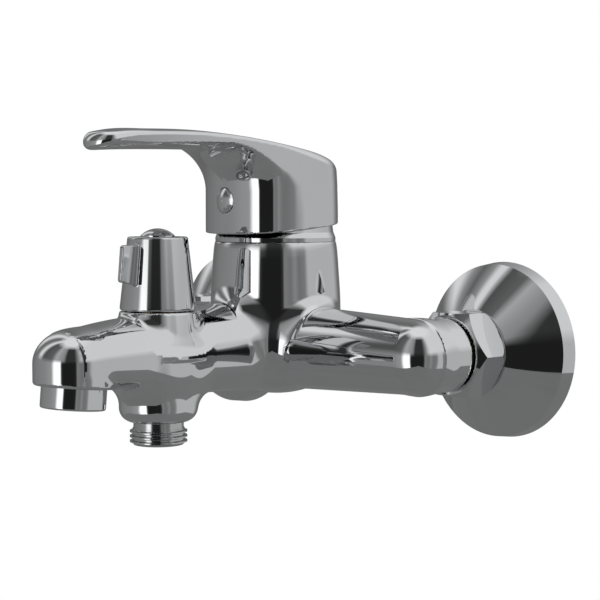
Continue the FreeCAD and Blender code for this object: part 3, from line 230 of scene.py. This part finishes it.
def casting_distance(x, y, z):
    """The whole casting: arms, barrel, spout, nose, knob seat and hose boss run together
    with fillets, less the bores that take the other pieces."""
    from_axis = np.hypot(x, y - AXIS_Y)
    from_diverter = np.hypot(x, y - DIVERTER_Y)
    barrel = barrel_distance(x, y, z)
    metal = rounded_union(arms_distance(x, y, z), barrel, ARM_FILLET)
    metal = rounded_union(metal, spout_distance(x, y, z), SPOUT_FILLET)
    seat = (from_diverter - SEAT_R - SEAT_FLARE * (SEAT_TOP_Z - z)) * 0.987
    seat = rounded_common(seat, z - SEAT_TOP_Z, SEAT_EDGE)
    seat = np.maximum(seat, -z)
    metal = rounded_union(metal, seat, SEAT_FILLET)
    boss = np.maximum(rounded_common(from_diverter - BOSS_R, BOSS_FACE_Z - z, BOSS_EDGE),
                      z + BOSS_ROOT_DROP)
    metal = rounded_union(metal, boss, BOSS_FILLET)
    foot = np.maximum(jet_out(x, y, z) - NOSE_R - 1.0, jet_height(y, z))
    nose = rounded_common(nose_distance(x, y, z), -jet_height(y, z), NOSE_EDGE)
    metal = rounded_union(np.maximum(metal, -foot), nose, NOSE_FILLET)
    metal = rounded_common(metal, z - HOUSING_TOP_Z, RIM_EDGE)
    chamber = np.maximum(from_axis - CHAMBER_R, CHAMBER_FLOOR_Z - z)
    headwork = np.maximum(from_diverter - BONNET_R, -BONNET_DEPTH - z)
    headwork = np.minimum(headwork, np.maximum(from_diverter - BONNET_FLANGE_R,
                                               SEAT_TOP_Z - BONNET_FLANGE - z))
    sockets = np.maximum(np.hypot(np.abs(x) - UNION_X, z) - UNION_BORE_R,
                         ELBOW_FACE_Y - UNION_BORE_DEPTH - y)
    nipple = np.maximum(from_diverter - NIPPLE_BORE_R, z - BOSS_FACE_Z - NIPPLE_BORE_DEPTH)
    aerator = np.maximum(jet_out(x, y, z) - AERATOR_BORE_R,
                         jet_height(y, z) - AERATOR_BORE_DEPTH)
    hollow = np.minimum(np.minimum(np.minimum(chamber, headwork), sockets),
                        np.minimum(nipple, aerator))
    return np.maximum(metal, -hollow)


# ---- lever -------------------------------------------------------------------------------
SKIRT_R = 24.55
TIP_R = 9.5
TIP_OUT = 88.0 - TIP_R
SKIRT_Z = 45.2             # lower edge at the cartridge axis
SKIRT_SLOPE = 0.091
SKIRT_EDGE = 0.6
BLADE_NARROWING = 0.189    # half width lost per millimetre towards the tip
BLADE_CROWN = 1.3          # fall of the blade's top to its sides
BLADE_BELLY = 2.0          # how far its underside hangs at the middle
UNDER_FILLET = 16.0        # hollow curve from neck to blade
TOP_EDGE = 1.3
TOP_EDGE_REAR = 2.4        # added to it at the back
TOP_EDGE_TIP = 1.5         # added to it at the tip
UNDER_EDGE = 0.5
UNDER_EDGE_TIP = 1.7       # added to it at the tip

# inside the lever
LEVER_WALL = 1.35
LEVER_ROOM_R = 22.65
LEVER_CEILING_Z = 61.0
PIN_Z = 36.0
SPINDLE_LEAN_DEGREES = 12.5
SPINDLE_BOSS_R = 7.4
SPINDLE_HALF = 4.0
SPINDLE_END = 29.2         # end of its socket, measured from the pin
SCREW_Z = 55.5
SCREW_R = 2.5
SCREW_BOSS_R = 5.8
BUTTON_R = 4.62
BUTTON_SEAT = 22.7         # ahead of the cartridge axis

TOP_LINE = smooth_curve([(-100, 70.5), (-92.0, 76.3), (-86.4, 79.3), (-81.0, 80.5), (-64.2, 81.3),
                         (-45.8, 81.3), (-32.1, 80.2), (-13.2, 77.4), (6.5, 73.5), (20.0, 70.2),
                         (26.0, 68.2), (32.0, 66.0)])
TOP_DROP = 0.06
UNDER_LINE = smooth_curve([(-100, 74.2), (-90.0, 74.8), (-78.6, 75.4), (-57.0, 76.0),
                           (-40.0, 76.2), (-20.0, 76.2), (30.0, 76.2)])
NECK_R = smooth_curve([(0, 25.7), (20, 26.2), (36, 26.9), (46, 26.6), (57, 25.4), (68, 24.5),
                       (90, 24.15), (130, 24.15), (180, 24.15)])


def plan_distance(x, y):
    """Distance in plan from the hull of the skirt circle and the blade's round tip."""
    lean = (SKIRT_R - TIP_R) / TIP_OUT
    across = np.abs(x)
    forward = -y
    facing = math.sqrt(1 - lean * lean)
    k = -across * lean + forward * facing
    back = np.hypot(across, forward) - SKIRT_R
    front = np.hypot(across, forward - TIP_OUT) - TIP_R
    side = across * facing + forward * lean - SKIRT_R
    return np.where(k < 0, back, np.where(k > facing * TIP_OUT, front, side))


def neck_distance(x, y):
    """Distance in plan from the neck, whose radius is a curve of the turn from the front."""
    turn = np.degrees(np.arctan2(np.abs(x), -y))
    steep = (NECK_R(turn + 0.5) - NECK_R(turn - 0.5)) / math.radians(1.0)
    radius = NECK_R(turn)
    return (np.hypot(x, y) - radius) / np.sqrt(1 + (steep / radius) ** 2)


def lever_distance(x, y, z):
    """Lever: hood and blade over a neck, joined below by a deep hollow fillet, trimmed to
    the plan, rounded at the top and cut along the skirt, less its inside and holes."""
    y = y - AXIS_Y
    plan = plan_distance(x, y)
    half = np.maximum(SKIRT_R + y * BLADE_NARROWING, TIP_R)
    share = np.minimum((x / half) ** 2, 1.4)
    top = (z - TOP_LINE(y) + TOP_DROP + BLADE_CROWN * share) * 0.985
    under = UNDER_LINE(y) - BLADE_BELLY * (1 - share) - z
    neck = neck_distance(x, y)
    metal = rounded_union(neck, under, UNDER_FILLET)
    rear = np.clip((y + 20) / 30, 0, 1)
    rear = rear * rear * (3 - 2 * rear)
    plan = plan + 0.055 * np.maximum(z - 50, 0) * rear
    tip = np.clip((-y - 66) / 22, 0, 1)
    tip = tip * tip * (3 - 2 * tip)
    outline = rounded_common(plan, top, TOP_EDGE + TOP_EDGE_REAR * rear + TOP_EDGE_TIP * tip)
    metal = rounded_common(metal, outline, UNDER_EDGE + UNDER_EDGE_TIP * tip)
    skirt = (SKIRT_Z + SKIRT_SLOPE * y - z) * 0.996
    metal = rounded_common(metal, skirt, SKIRT_EDGE)
    room = np.minimum(neck + LEVER_WALL, np.hypot(x, y + 1.6) - LEVER_ROOM_R)
    room = np.maximum(room, z - LEVER_CEILING_Z)
    lean = math.radians(SPINDLE_LEAN_DEGREES)
    spindle_out = y * math.cos(lean) + (z - PIN_Z) * math.sin(lean)
    spindle_up = -y * math.sin(lean) + (z - PIN_Z) * math.cos(lean)
    boss = np.maximum(np.hypot(x, spindle_out) - SPINDLE_BOSS_R, 18.6 - spindle_up)
    web = np.maximum(np.maximum(np.hypot(x, z - SCREW_Z) - SCREW_BOSS_R, y + 7.0), neck + 0.6)
    room = np.maximum(room, -np.minimum(boss, web))
    socket = np.maximum(np.maximum(np.abs(x), np.abs(spindle_out)) - SPINDLE_HALF,
                        spindle_up - SPINDLE_END)
    screw = np.maximum(np.hypot(x, (z - SCREW_Z) - (y + BUTTON_SEAT) * 0.222) - SCREW_R,
                       np.abs(y + 13) - 9.7)
    button = np.maximum(np.hypot(x, z - SCREW_Z) - BUTTON_R, y + BUTTON_SEAT)
    holes = np.minimum(np.minimum(socket, screw), button)
    return np.maximum(metal, -np.minimum(room, holes))


# ---- diverter knob -----------------------------------------------------------------------
KNOB_FOOT_R = 13.95
KNOB_TOP_R = 10.9
KNOB_TAPER = (KNOB_FOOT_R - KNOB_TOP_R) / (KNOB_HIGH_Z - KNOB_LOW_Z)
KNOB_TOP_EDGE = 0.7
KNOB_FOOT_EDGE = 1.1
KNOB_FOOT_DROP = 0.25      # below the CAD knob's foot
KNOB_WALL = 1.6
KNOB_TOP_THICKNESS = 6.0
HUB_R = 6.0
HUB_FOOT = 8.5             # over the knob's foot
STEM_BORE_R = 4.15
STEM_BORE_END = 6.2        # below the knob's top
KNOB_SCREW_R = 2.1
PLUG_SEAT_R = 4.8
PLUG_SEAT_DEPTH = 5.0
CAP_SEAT_R = 6.2
CAP_SEAT_DEPTH = 1.0
FIN_TURN = math.radians(12.4)
FIN_LOW_Z = KNOB_LOW_Z + 9.1
FIN_HIGH_Z = KNOB_LOW_Z + 23.7
FIN_REACH = 8.6
FIN_HALF = 0.95
FIN_RISE = 0.19            # how fast its lower edge rises outwards
FIN_CORNER = 1.0
FIN_EDGE = 0.42
FIN_FILLET = 0.7


def knob_distance(x, y, z):
    """Hollow cone with a thin upright fin, its edges rounded and its root filleted, less
    the room inside round the hub, the hub's bore and the seat of the cap."""
    y = y - DIVERTER_Y
    out = np.hypot(x, y)
    cone_r = KNOB_FOOT_R - KNOB_TAPER * (z - KNOB_LOW_Z)
    metal = rounded_common(out - cone_r, z - KNOB_HIGH_Z, KNOB_TOP_EDGE)
    metal = rounded_common(metal, KNOB_LOW_Z - KNOB_FOOT_DROP - z, KNOB_FOOT_EDGE)
    ahead = x * math.sin(FIN_TURN) - y * math.cos(FIN_TURN)
    aside = x * math.cos(FIN_TURN) + y * math.sin(FIN_TURN)
    reach = rounded_common(ahead - cone_r - FIN_REACH, z - FIN_HIGH_Z, FIN_CORNER)
    under = (FIN_LOW_Z - z + FIN_RISE * (ahead - cone_r)) * 0.98
    fin = rounded_common(reach, under, FIN_CORNER)
    fin = rounded_common(fin, np.abs(aside) - FIN_HALF, FIN_EDGE)
    fin = np.maximum(fin, 9.0 - ahead)
    metal = rounded_union(metal, fin, FIN_FILLET)
    ceiling = KNOB_HIGH_Z - KNOB_TOP_THICKNESS
    room = np.maximum(out - cone_r + KNOB_WALL, z - ceiling)
    hub = np.maximum(out - HUB_R, KNOB_LOW_Z + HUB_FOOT - z)
    room = np.maximum(room, -hub)
    bore = np.maximum(out - STEM_BORE_R, z - KNOB_HIGH_Z + STEM_BORE_END)
    screw = out - KNOB_SCREW_R
    seat = np.minimum(np.maximum(out - PLUG_SEAT_R, KNOB_HIGH_Z - PLUG_SEAT_DEPTH - z),
                      np.maximum(out - CAP_SEAT_R, KNOB_HIGH_Z - CAP_SEAT_DEPTH - z))
    holes = np.minimum(np.minimum(bore, screw), seat)
    return np.maximum(metal, -np.minimum(room, holes))


# ---- from distance function to mesh ------------------------------------------------------
def slopes(field, point):
    """Value and slope of a distance function at points, by differences each way."""
    nudge = 0.01
    columns = []
    for axis in range(3):
        step = np.zeros(3)
        step[axis] = nudge
        ahead = field(*(point + step).T)
        behind = field(*(point - step).T)
        columns.append((ahead - behind) / (2 * nudge))
    return field(*point.T), np.stack(columns, 1)


def settle(field, point, reach, rounds=5):
    """Move points on to the surface: each time by value over slope, at most the reach."""
    for _ in range(rounds):
        value, slope = slopes(field, point)
        size = np.maximum((slope ** 2).sum(1), 0.05)
        move = slope * (value / size)[:, None]
        length = np.maximum(np.linalg.norm(move, axis=1), 1e-9)
        point = point - move * np.minimum(1, reach / length)[:, None]
    slope = slopes(field, point)[1]
    length = np.maximum(np.linalg.norm(slope, axis=1), 1e-9)
    return point, slope / length[:, None]


def skin(field, low, high, step):
    """Surface net: one vertex in each grid cell that the surface passes through, at the
    mean of its crossings with the cell's edges, and one quad round each crossed edge."""
    axes = [np.arange(a, b + step, step) for a, b in zip(low, high)]
    shape = tuple(len(a) for a in axes)
    grid = np.meshgrid(*axes, indexing="ij", sparse=True)
    value = np.array(np.broadcast_to(field(*grid), shape))
    value[value == 0] = 1e-9
    inside = value < 0
    count = np.zeros(tuple(n - 1 for n in shape), np.int8)
    for corner in itertools.product((0, 1), repeat=3):
        window = tuple(slice(c, n - 1 + c) for c, n in zip(corner, shape))
        count += inside[window]
    mixed = (count > 0) & (count < 8)
    number = np.full(count.shape, -1)
    total = int(mixed.sum())
    number[mixed] = np.arange(total)
    place = np.zeros((total, 3))
    hits = np.zeros(total)
    quads = []
    for axis in range(3):
        near = tuple(slice(0, -1) if a == axis else slice(None) for a in range(3))
        far = tuple(slice(1, None) if a == axis else slice(None) for a in range(3))
        first, second = value[near], value[far]
        crossed = np.argwhere((first < 0) != (second < 0))
        a = first[tuple(crossed.T)]
        b = second[tuple(crossed.T)]
        crossing = crossed.astype(float)
        crossing[:, axis] += a / (a - b)
        u, v = (axis + 1) % 3, (axis + 2) % 3
        ring = []
        for du, dv in ((0, 0), (-1, 0), (-1, -1), (0, -1)):
            cell = crossed.copy()
            cell[:, u] += du
            cell[:, v] += dv
            ring.append(number[tuple(cell.T)])
        for around in ring:
            hits += np.bincount(around, minlength=total)
            for c in range(3):
                place[:, c] += np.bincount(around, crossing[:, c], total)
        ring = np.stack(ring, 1)
        leaving = a < 0
        ring[~leaving] = ring[~leaving][:, ::-1]
        quads.append(ring)
    point = np.array(low) + step * place / hits[:, None]
    point, normal = settle(field, point, step / 2)
    return point, np.concatenate(quads), normal


def mesh_piece(name, point, quads, material, normal=None):
    """Object at the origin from points in millimetres and rows of vertex numbers."""
    mesh = bpy.data.meshes.new(name)
    sides = quads.shape[1]
    mesh.vertices.add(len(point))
    mesh.vertices.foreach_set("co", (point * MM).astype(np.float32).ravel())
    mesh.loops.add(quads.size)
    mesh.loops.foreach_set("vertex_index", quads.astype(np.int32).ravel())
    mesh.polygons.add(len(quads))
    mesh.polygons.foreach_set("loop_start", np.arange(0, quads.size, sides, dtype=np.int32))
    mesh.update(calc_edges=True)
    mesh.validate()
    mesh.shade_smooth()
    if normal is not None:
        mesh.normals_split_custom_set_from_vertices(normal.tolist())
    mesh.materials.append(material)
    piece = bpy.data.objects.new(name, mesh)
    bpy.context.scene.collection.objects.link(piece)
    return piece


# ---- shader maths ------------------------------------------------------------------------
class Wire:
    """A socket of a node tree; arithmetic on number sockets adds Math nodes."""

    def __init__(self, board, socket):
        self.board = board
        self.socket = socket

    def math(self, operation, a, b=0.0):
        return self.board.node("ShaderNodeMath", {"operation": operation}, {0: a, 1: b})

    def __add__(self, other):
        return self.math("ADD", self, other)

    def __sub__(self, other):
        return self.math("SUBTRACT", self, other)

    def __rsub__(self, other):
        return self.math("SUBTRACT", other, self)

    def __mul__(self, other):
        return self.math("MULTIPLY", self, other)

    def __truediv__(self, other):
        return self.math("DIVIDE", self, other)

    __radd__ = __add__
    __rmul__ = __mul__


class Board:
    """A node tree that is filled by calls."""

    def __init__(self, tree):
        self.tree = tree
        tree.nodes.clear()

    def node(self, kind, settings=None, values=None, out=0):
        """Add a node: its settings first (a ramp's stops as (place, colour) pairs), then
        the values or wires of its sockets. Returns the wire of one output."""
        made = self.tree.nodes.new(kind)
        for key, value in (settings or {}).items():
            if key == "stops":
                band = made.color_ramp.elements
                while len(band) > 1:
                    band.remove(band[-1])
                band[0].position = value[0][0]
                band[0].color = value[0][1]
                for place, colour in value[1:]:
                    band.new(place).color = colour
            else:
                setattr(made, key, value)
        for key, value in (values or {}).items():
            if isinstance(value, Wire):
                self.tree.links.new(value.socket, made.inputs[key])
            else:
                made.inputs[key].default_value = value
        return Wire(self, made.outputs[out] if made.outputs else None)

    def mix(self, share, first, second):
        """Colour between two others."""
        return self.node("ShaderNodeMix", {"data_type": "RGBA"},
                         {0: share, 6: first, 7: second}, 2)

    def noise(self, where, scale, detail=2.0):
        """Soft random pattern, 0 to 1."""
        return self.node("ShaderNodeTexNoise", {}, {"Vector": where, "Scale": scale,
                                                    "Detail": detail})

    def stretched(self, where, scale):
        """The same place, measured with another scale along each axis."""
        return self.node("ShaderNodeMapping", {}, {"Vector": where, "Scale": scale})


def finish(name, surface):
    """Material whose Principled sockets come from surface(board, place)."""
    material = bpy.data.materials.new(name)
    material.use_nodes = True
    board = Board(material.node_tree)
    place = board.node("ShaderNodeTexCoord", out="Object")
    shader = board.node("ShaderNodeBsdfPrincipled", {}, surface(board, place))
    board.node("ShaderNodeOutputMaterial", {}, {"Surface": shader})
    return material


def grey(level, warm=0.0):
    """A neutral colour, a touch warmer or cooler."""
    return (level * (1 + warm), level, level * (1 - warm), 1.0)


def plated(light, dark, roughness, uneven):
    """Polished plating: faint clouding, hairline wipe marks and a slight ripple."""
    def surface(board, place):
        cloud = board.noise(place, 55.0, 3.0)
        hair = board.noise(board.stretched(place, (400.0, 2600.0, 900.0)), 1.0, 2.0)
        ripple = board.noise(place, 90.0, 1.0)
        bump = board.node("ShaderNodeBump", {}, {"Strength": uneven, "Distance": 0.0004,
                                                 "Height": ripple + 0.02 * hair})
        return {"Base Color": board.mix(cloud, light, dark), "Metallic": 1.0,
                "Roughness": roughness + 0.03 * cloud + 0.025 * hair, "Normal": bump}
    return surface


def machined(light, dark, roughness):
    """Turned metal: fine rings of tool marks and dull patches."""
    def surface(board, place):
        cloud = board.noise(place, 120.0, 4.0)
        marks = board.noise(board.stretched(place, (300.0, 4000.0, 4000.0)), 1.0, 1.0)
        bump = board.node("ShaderNodeBump", {}, {"Strength": 0.25, "Distance": 0.0001,
                                                 "Height": marks})
        return {"Base Color": board.mix(cloud, light, dark), "Metallic": 1.0,
                "Roughness": roughness + 0.15 * cloud, "Normal": bump}
    return surface


def moulded(light, dark, roughness, grain):
    """Plastic, rubber or ceramic: mottled colour and a fine moulded grain."""
    def surface(board, place):
        cloud = board.noise(place, 80.0, 3.0)
        fine = board.noise(place, 2200.0, 2.0)
        bump = board.node("ShaderNodeBump", {}, {"Strength": grain, "Distance": 0.0001,
                                                 "Height": fine})
        return {"Base Color": board.mix(cloud, light, dark),
                "Roughness": roughness + 0.12 * fine, "Normal": bump}
    return surface


FINISHES = {
    "chrome": finish("polished_chrome", plated(grey(0.80, -0.012), grey(0.75, -0.012), 0.015, 0.015)),
    "nipple_chrome": finish("thread_chrome", plated(grey(0.70, -0.01), grey(0.58, -0.01), 0.12, 0.1)),
    "brass": finish("machined_brass", machined((0.78, 0.60, 0.30, 1), (0.62, 0.45, 0.20, 1), 0.22)),
    "disc_ceramic": finish("lapped_ceramic", moulded(grey(0.86, 0.02), grey(0.78, 0.03), 0.15, 0.05)),
    "cartridge_plastic": finish("grey_plastic", moulded(grey(0.30, -0.1), grey(0.24, -0.1), 0.4, 0.2)),
    "guide_plastic": finish("white_plastic", moulded(grey(0.84, 0.01), grey(0.76, 0.02), 0.35, 0.2)),
    "seal_rubber": finish("black_rubber", moulded(grey(0.05), grey(0.03), 0.6, 0.35)),
    "steel": finish("machined_steel", machined(grey(0.62), grey(0.5), 0.28)),
}

for node in frame["nodes"].values():
    for holder in node.material_slots:
        holder.material = FINISHES[holder.material.name.split(".")[0]]


# ---- pieces ------------------------------------------------------------------------------
def add_skin(name, field, low, high, step, body, node):
    """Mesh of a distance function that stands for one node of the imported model."""
    point, quads, normal = skin(field, low, high, step)
    piece = mesh_piece(name, point, quads, FINISHES["chrome"], normal)
    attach(piece, body)
    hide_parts(node)
    return piece


add_skin("casting_skin", casting_distance,
         (-UNION_X - 16, NOZZLE_Y - 17, BOSS_FACE_Z - 2),
         (UNION_X + 16, AXIS_Y + 28, HOUSING_TOP_Z + 2), 0.85, "body", "body_casting")
add_skin("lever_skin", lever_distance,
         (-27.0, AXIS_Y - 92.0, 40.0), (27.0, AXIS_Y + 27.0, 84.0), 0.6, "lever", "lever")
add_skin("knob_skin", knob_distance,
         (-15.0, DIVERTER_Y - 23.0, KNOB_LOW_Z - 1), (15.0, DIVERTER_Y + 15.0, KNOB_HIGH_Z + 1), 0.35,
         "diverter", "diverter_knob")


# ---- studio ------------------------------------------------------------------------------
def lit(shown):
    """Light that makes the plating look this bright on the screen, 0 to 1."""
    return grey(shown ** 2.2 / PLATING)


def studio_light(board):
    """Light by direction: a ring round the horizon with a dark gap, a bright panel and grey
    panels, an upper ring over it, a light ceiling overhead and grey below."""
    way = board.node("ShaderNodeTexCoord", out="Generated")
    split = board.node("ShaderNodeSeparateXYZ", {}, {0: way})
    x, y, z = (Wire(board, split.socket.node.outputs[i]) for i in range(3))
    ahead = x * math.sin(DARK_TURN) - y * math.cos(DARK_TURN)
    aside = x * -math.cos(DARK_TURN) - y * math.sin(DARK_TURN)
    turn = aside.math("ARCTAN2", aside, ahead) / (2 * math.pi) + 0.5
    level = z.math("ARCSINE", z) / math.pi + 0.5

    def ramp(stops, turnwise):
        """Colour by turn or by height, from (degrees, brightness) pairs."""
        where = turn if turnwise else level
        span = 360 if turnwise else 180
        return board.node("ShaderNodeValToRGB",
                          {"stops": [(0.5 + a / span, lit(v)) for a, v in stops]}, {0: where})

    def share(stops):
        """How much of a layer shows by height, from (degrees, share) pairs."""
        return board.node("ShaderNodeValToRGB",
                          {"stops": [(0.5 + a / 180, grey(v)) for a, v in stops]}, {0: level})

    above = board.mix(share(CEILING_SHARE), ramp(HIGH, True), lit(CEILING))
    rest = board.mix(share([(-2, 0.0), (2, 1.0)]), ramp(BELOW, False), above)
    return board.mix(share(RING_SHARE), rest, ramp(RING, True))


PLATING = 0.78
DARK_TURN = math.radians(46.87)
RING = [(-180, 0.38), (-150, 0.40), (-130, 0.66), (-62, 0.66), (-55, 0.46), (-44, 0.42),
        (-36, 0.50), (-28, 0.42), (-17, 0.46), (-14, 0.20), (-10, 0.13), (22, 0.13), (27, 0.20),
        (31, 1.05), (47, 1.05), (57, 0.56), (80, 0.50), (120, 0.46), (150, 0.38), (180, 0.38)]
HIGH = [(-180, 0.45), (-160, 0.62), (-130, 0.78), (-34, 0.78), (-20, 0.46), (-11, 0.20),
        (14, 0.20), (22, 0.50), (45, 0.62), (60, 0.36), (92, 0.30), (99, 0.60), (104, 0.80),
        (111, 0.80), (118, 0.53), (129, 0.36), (137, 0.52), (144, 0.80), (150, 0.80),
        (157, 0.50), (165, 0.38), (180, 0.45)]
CEILING = 0.83
BELOW = [(-90, 0.36), (-30, 0.43), (0, 0.50)]
RING_SHARE = [(-90, 0.0), (-45, 0.0), (-25, 1.0), (7, 1.0), (19, 0.0), (90, 0.0)]
CEILING_SHARE = [(-90, 0.0), (60, 0.0), (74, 1.0), (90, 1.0)]

scene = bpy.context.scene
world = bpy.data.worlds.new("studio")
scene.world = world
world.use_nodes = True
board = Board(world.node_tree)
seen = board.node("ShaderNodeLightPath", out="Is Camera Ray")
glow = board.node("ShaderNodeBackground", {}, {"Color": studio_light(board), "Strength": 1.0})
plain = board.node("ShaderNodeBackground", {}, {"Color": grey(1.0), "Strength": 1.0})
both = board.node("ShaderNodeMixShader", {}, {0: seen, 1: glow, 2: plain})
board.node("ShaderNodeOutputWorld", {}, {"Surface": both})



def pale_floor(board):
    """Floor paint: pale and faintly mottled, and near white where it is seen directly."""
    place = board.node("ShaderNodeTexCoord", out="Object")
    cloud = board.noise(place, 3.0, 3.0)
    grain = board.node("ShaderNodeBump", {}, {"Strength": 0.1, "Distance": 0.001,
                                              "Height": board.noise(place, 150.0, 2.0)})
    paint = board.node("ShaderNodeBsdfPrincipled", {},
                       {"Base Color": board.mix(cloud, grey(0.38), grey(0.33)),
                        "Roughness": 0.55 + 0.1 * cloud, "Normal": grain})
    white = board.node("ShaderNodeEmission", {},
                       {"Color": board.mix(cloud, grey(1.0), grey(0.97)), "Strength": 1.0})
    seen = board.node("ShaderNodeLightPath", out="Is Camera Ray")
    both = board.node("ShaderNodeMixShader", {}, {0: seen, 1: paint, 2: white})
    board.node("ShaderNodeOutputMaterial", {}, {"Surface": both})


FLOOR_Z = -620.0
FLOOR_HALF = 1300.0
floor_paint = bpy.data.materials.new("floor_paint")
floor_paint.use_nodes = True
pale_floor(Board(floor_paint.node_tree))
corners = np.array([(-1, -1, 0), (1, -1, 0), (1, 1, 0), (-1, 1, 0)]) * FLOOR_HALF
floor = mesh_piece("floor", corners + (0, 0, FLOOR_Z), np.array([(0, 1, 2, 3)]), floor_paint)

CAMERA_PLACE = Vector((0.45995, -0.46554, 0.05410))
TURN = math.radians(46.871)
DOWN = math.radians(3.402)
camera_data = bpy.data.cameras.new("camera")
camera_data.sensor_width = 36.0
camera_data.lens = 96.424
camera_data.clip_start = 0.01
camera = bpy.data.objects.new("camera", camera_data)
look = Vector((-math.sin(TURN) * math.cos(DOWN), math.cos(TURN) * math.cos(DOWN), -math.sin(DOWN)))
camera.location = CAMERA_PLACE
camera.rotation_mode = "QUATERNION"
camera.rotation_quaternion = look.to_track_quat("-Z", "Y")
scene.collection.objects.link(camera)
scene.camera = camera
scene.view_settings.view_transform = "Standard"
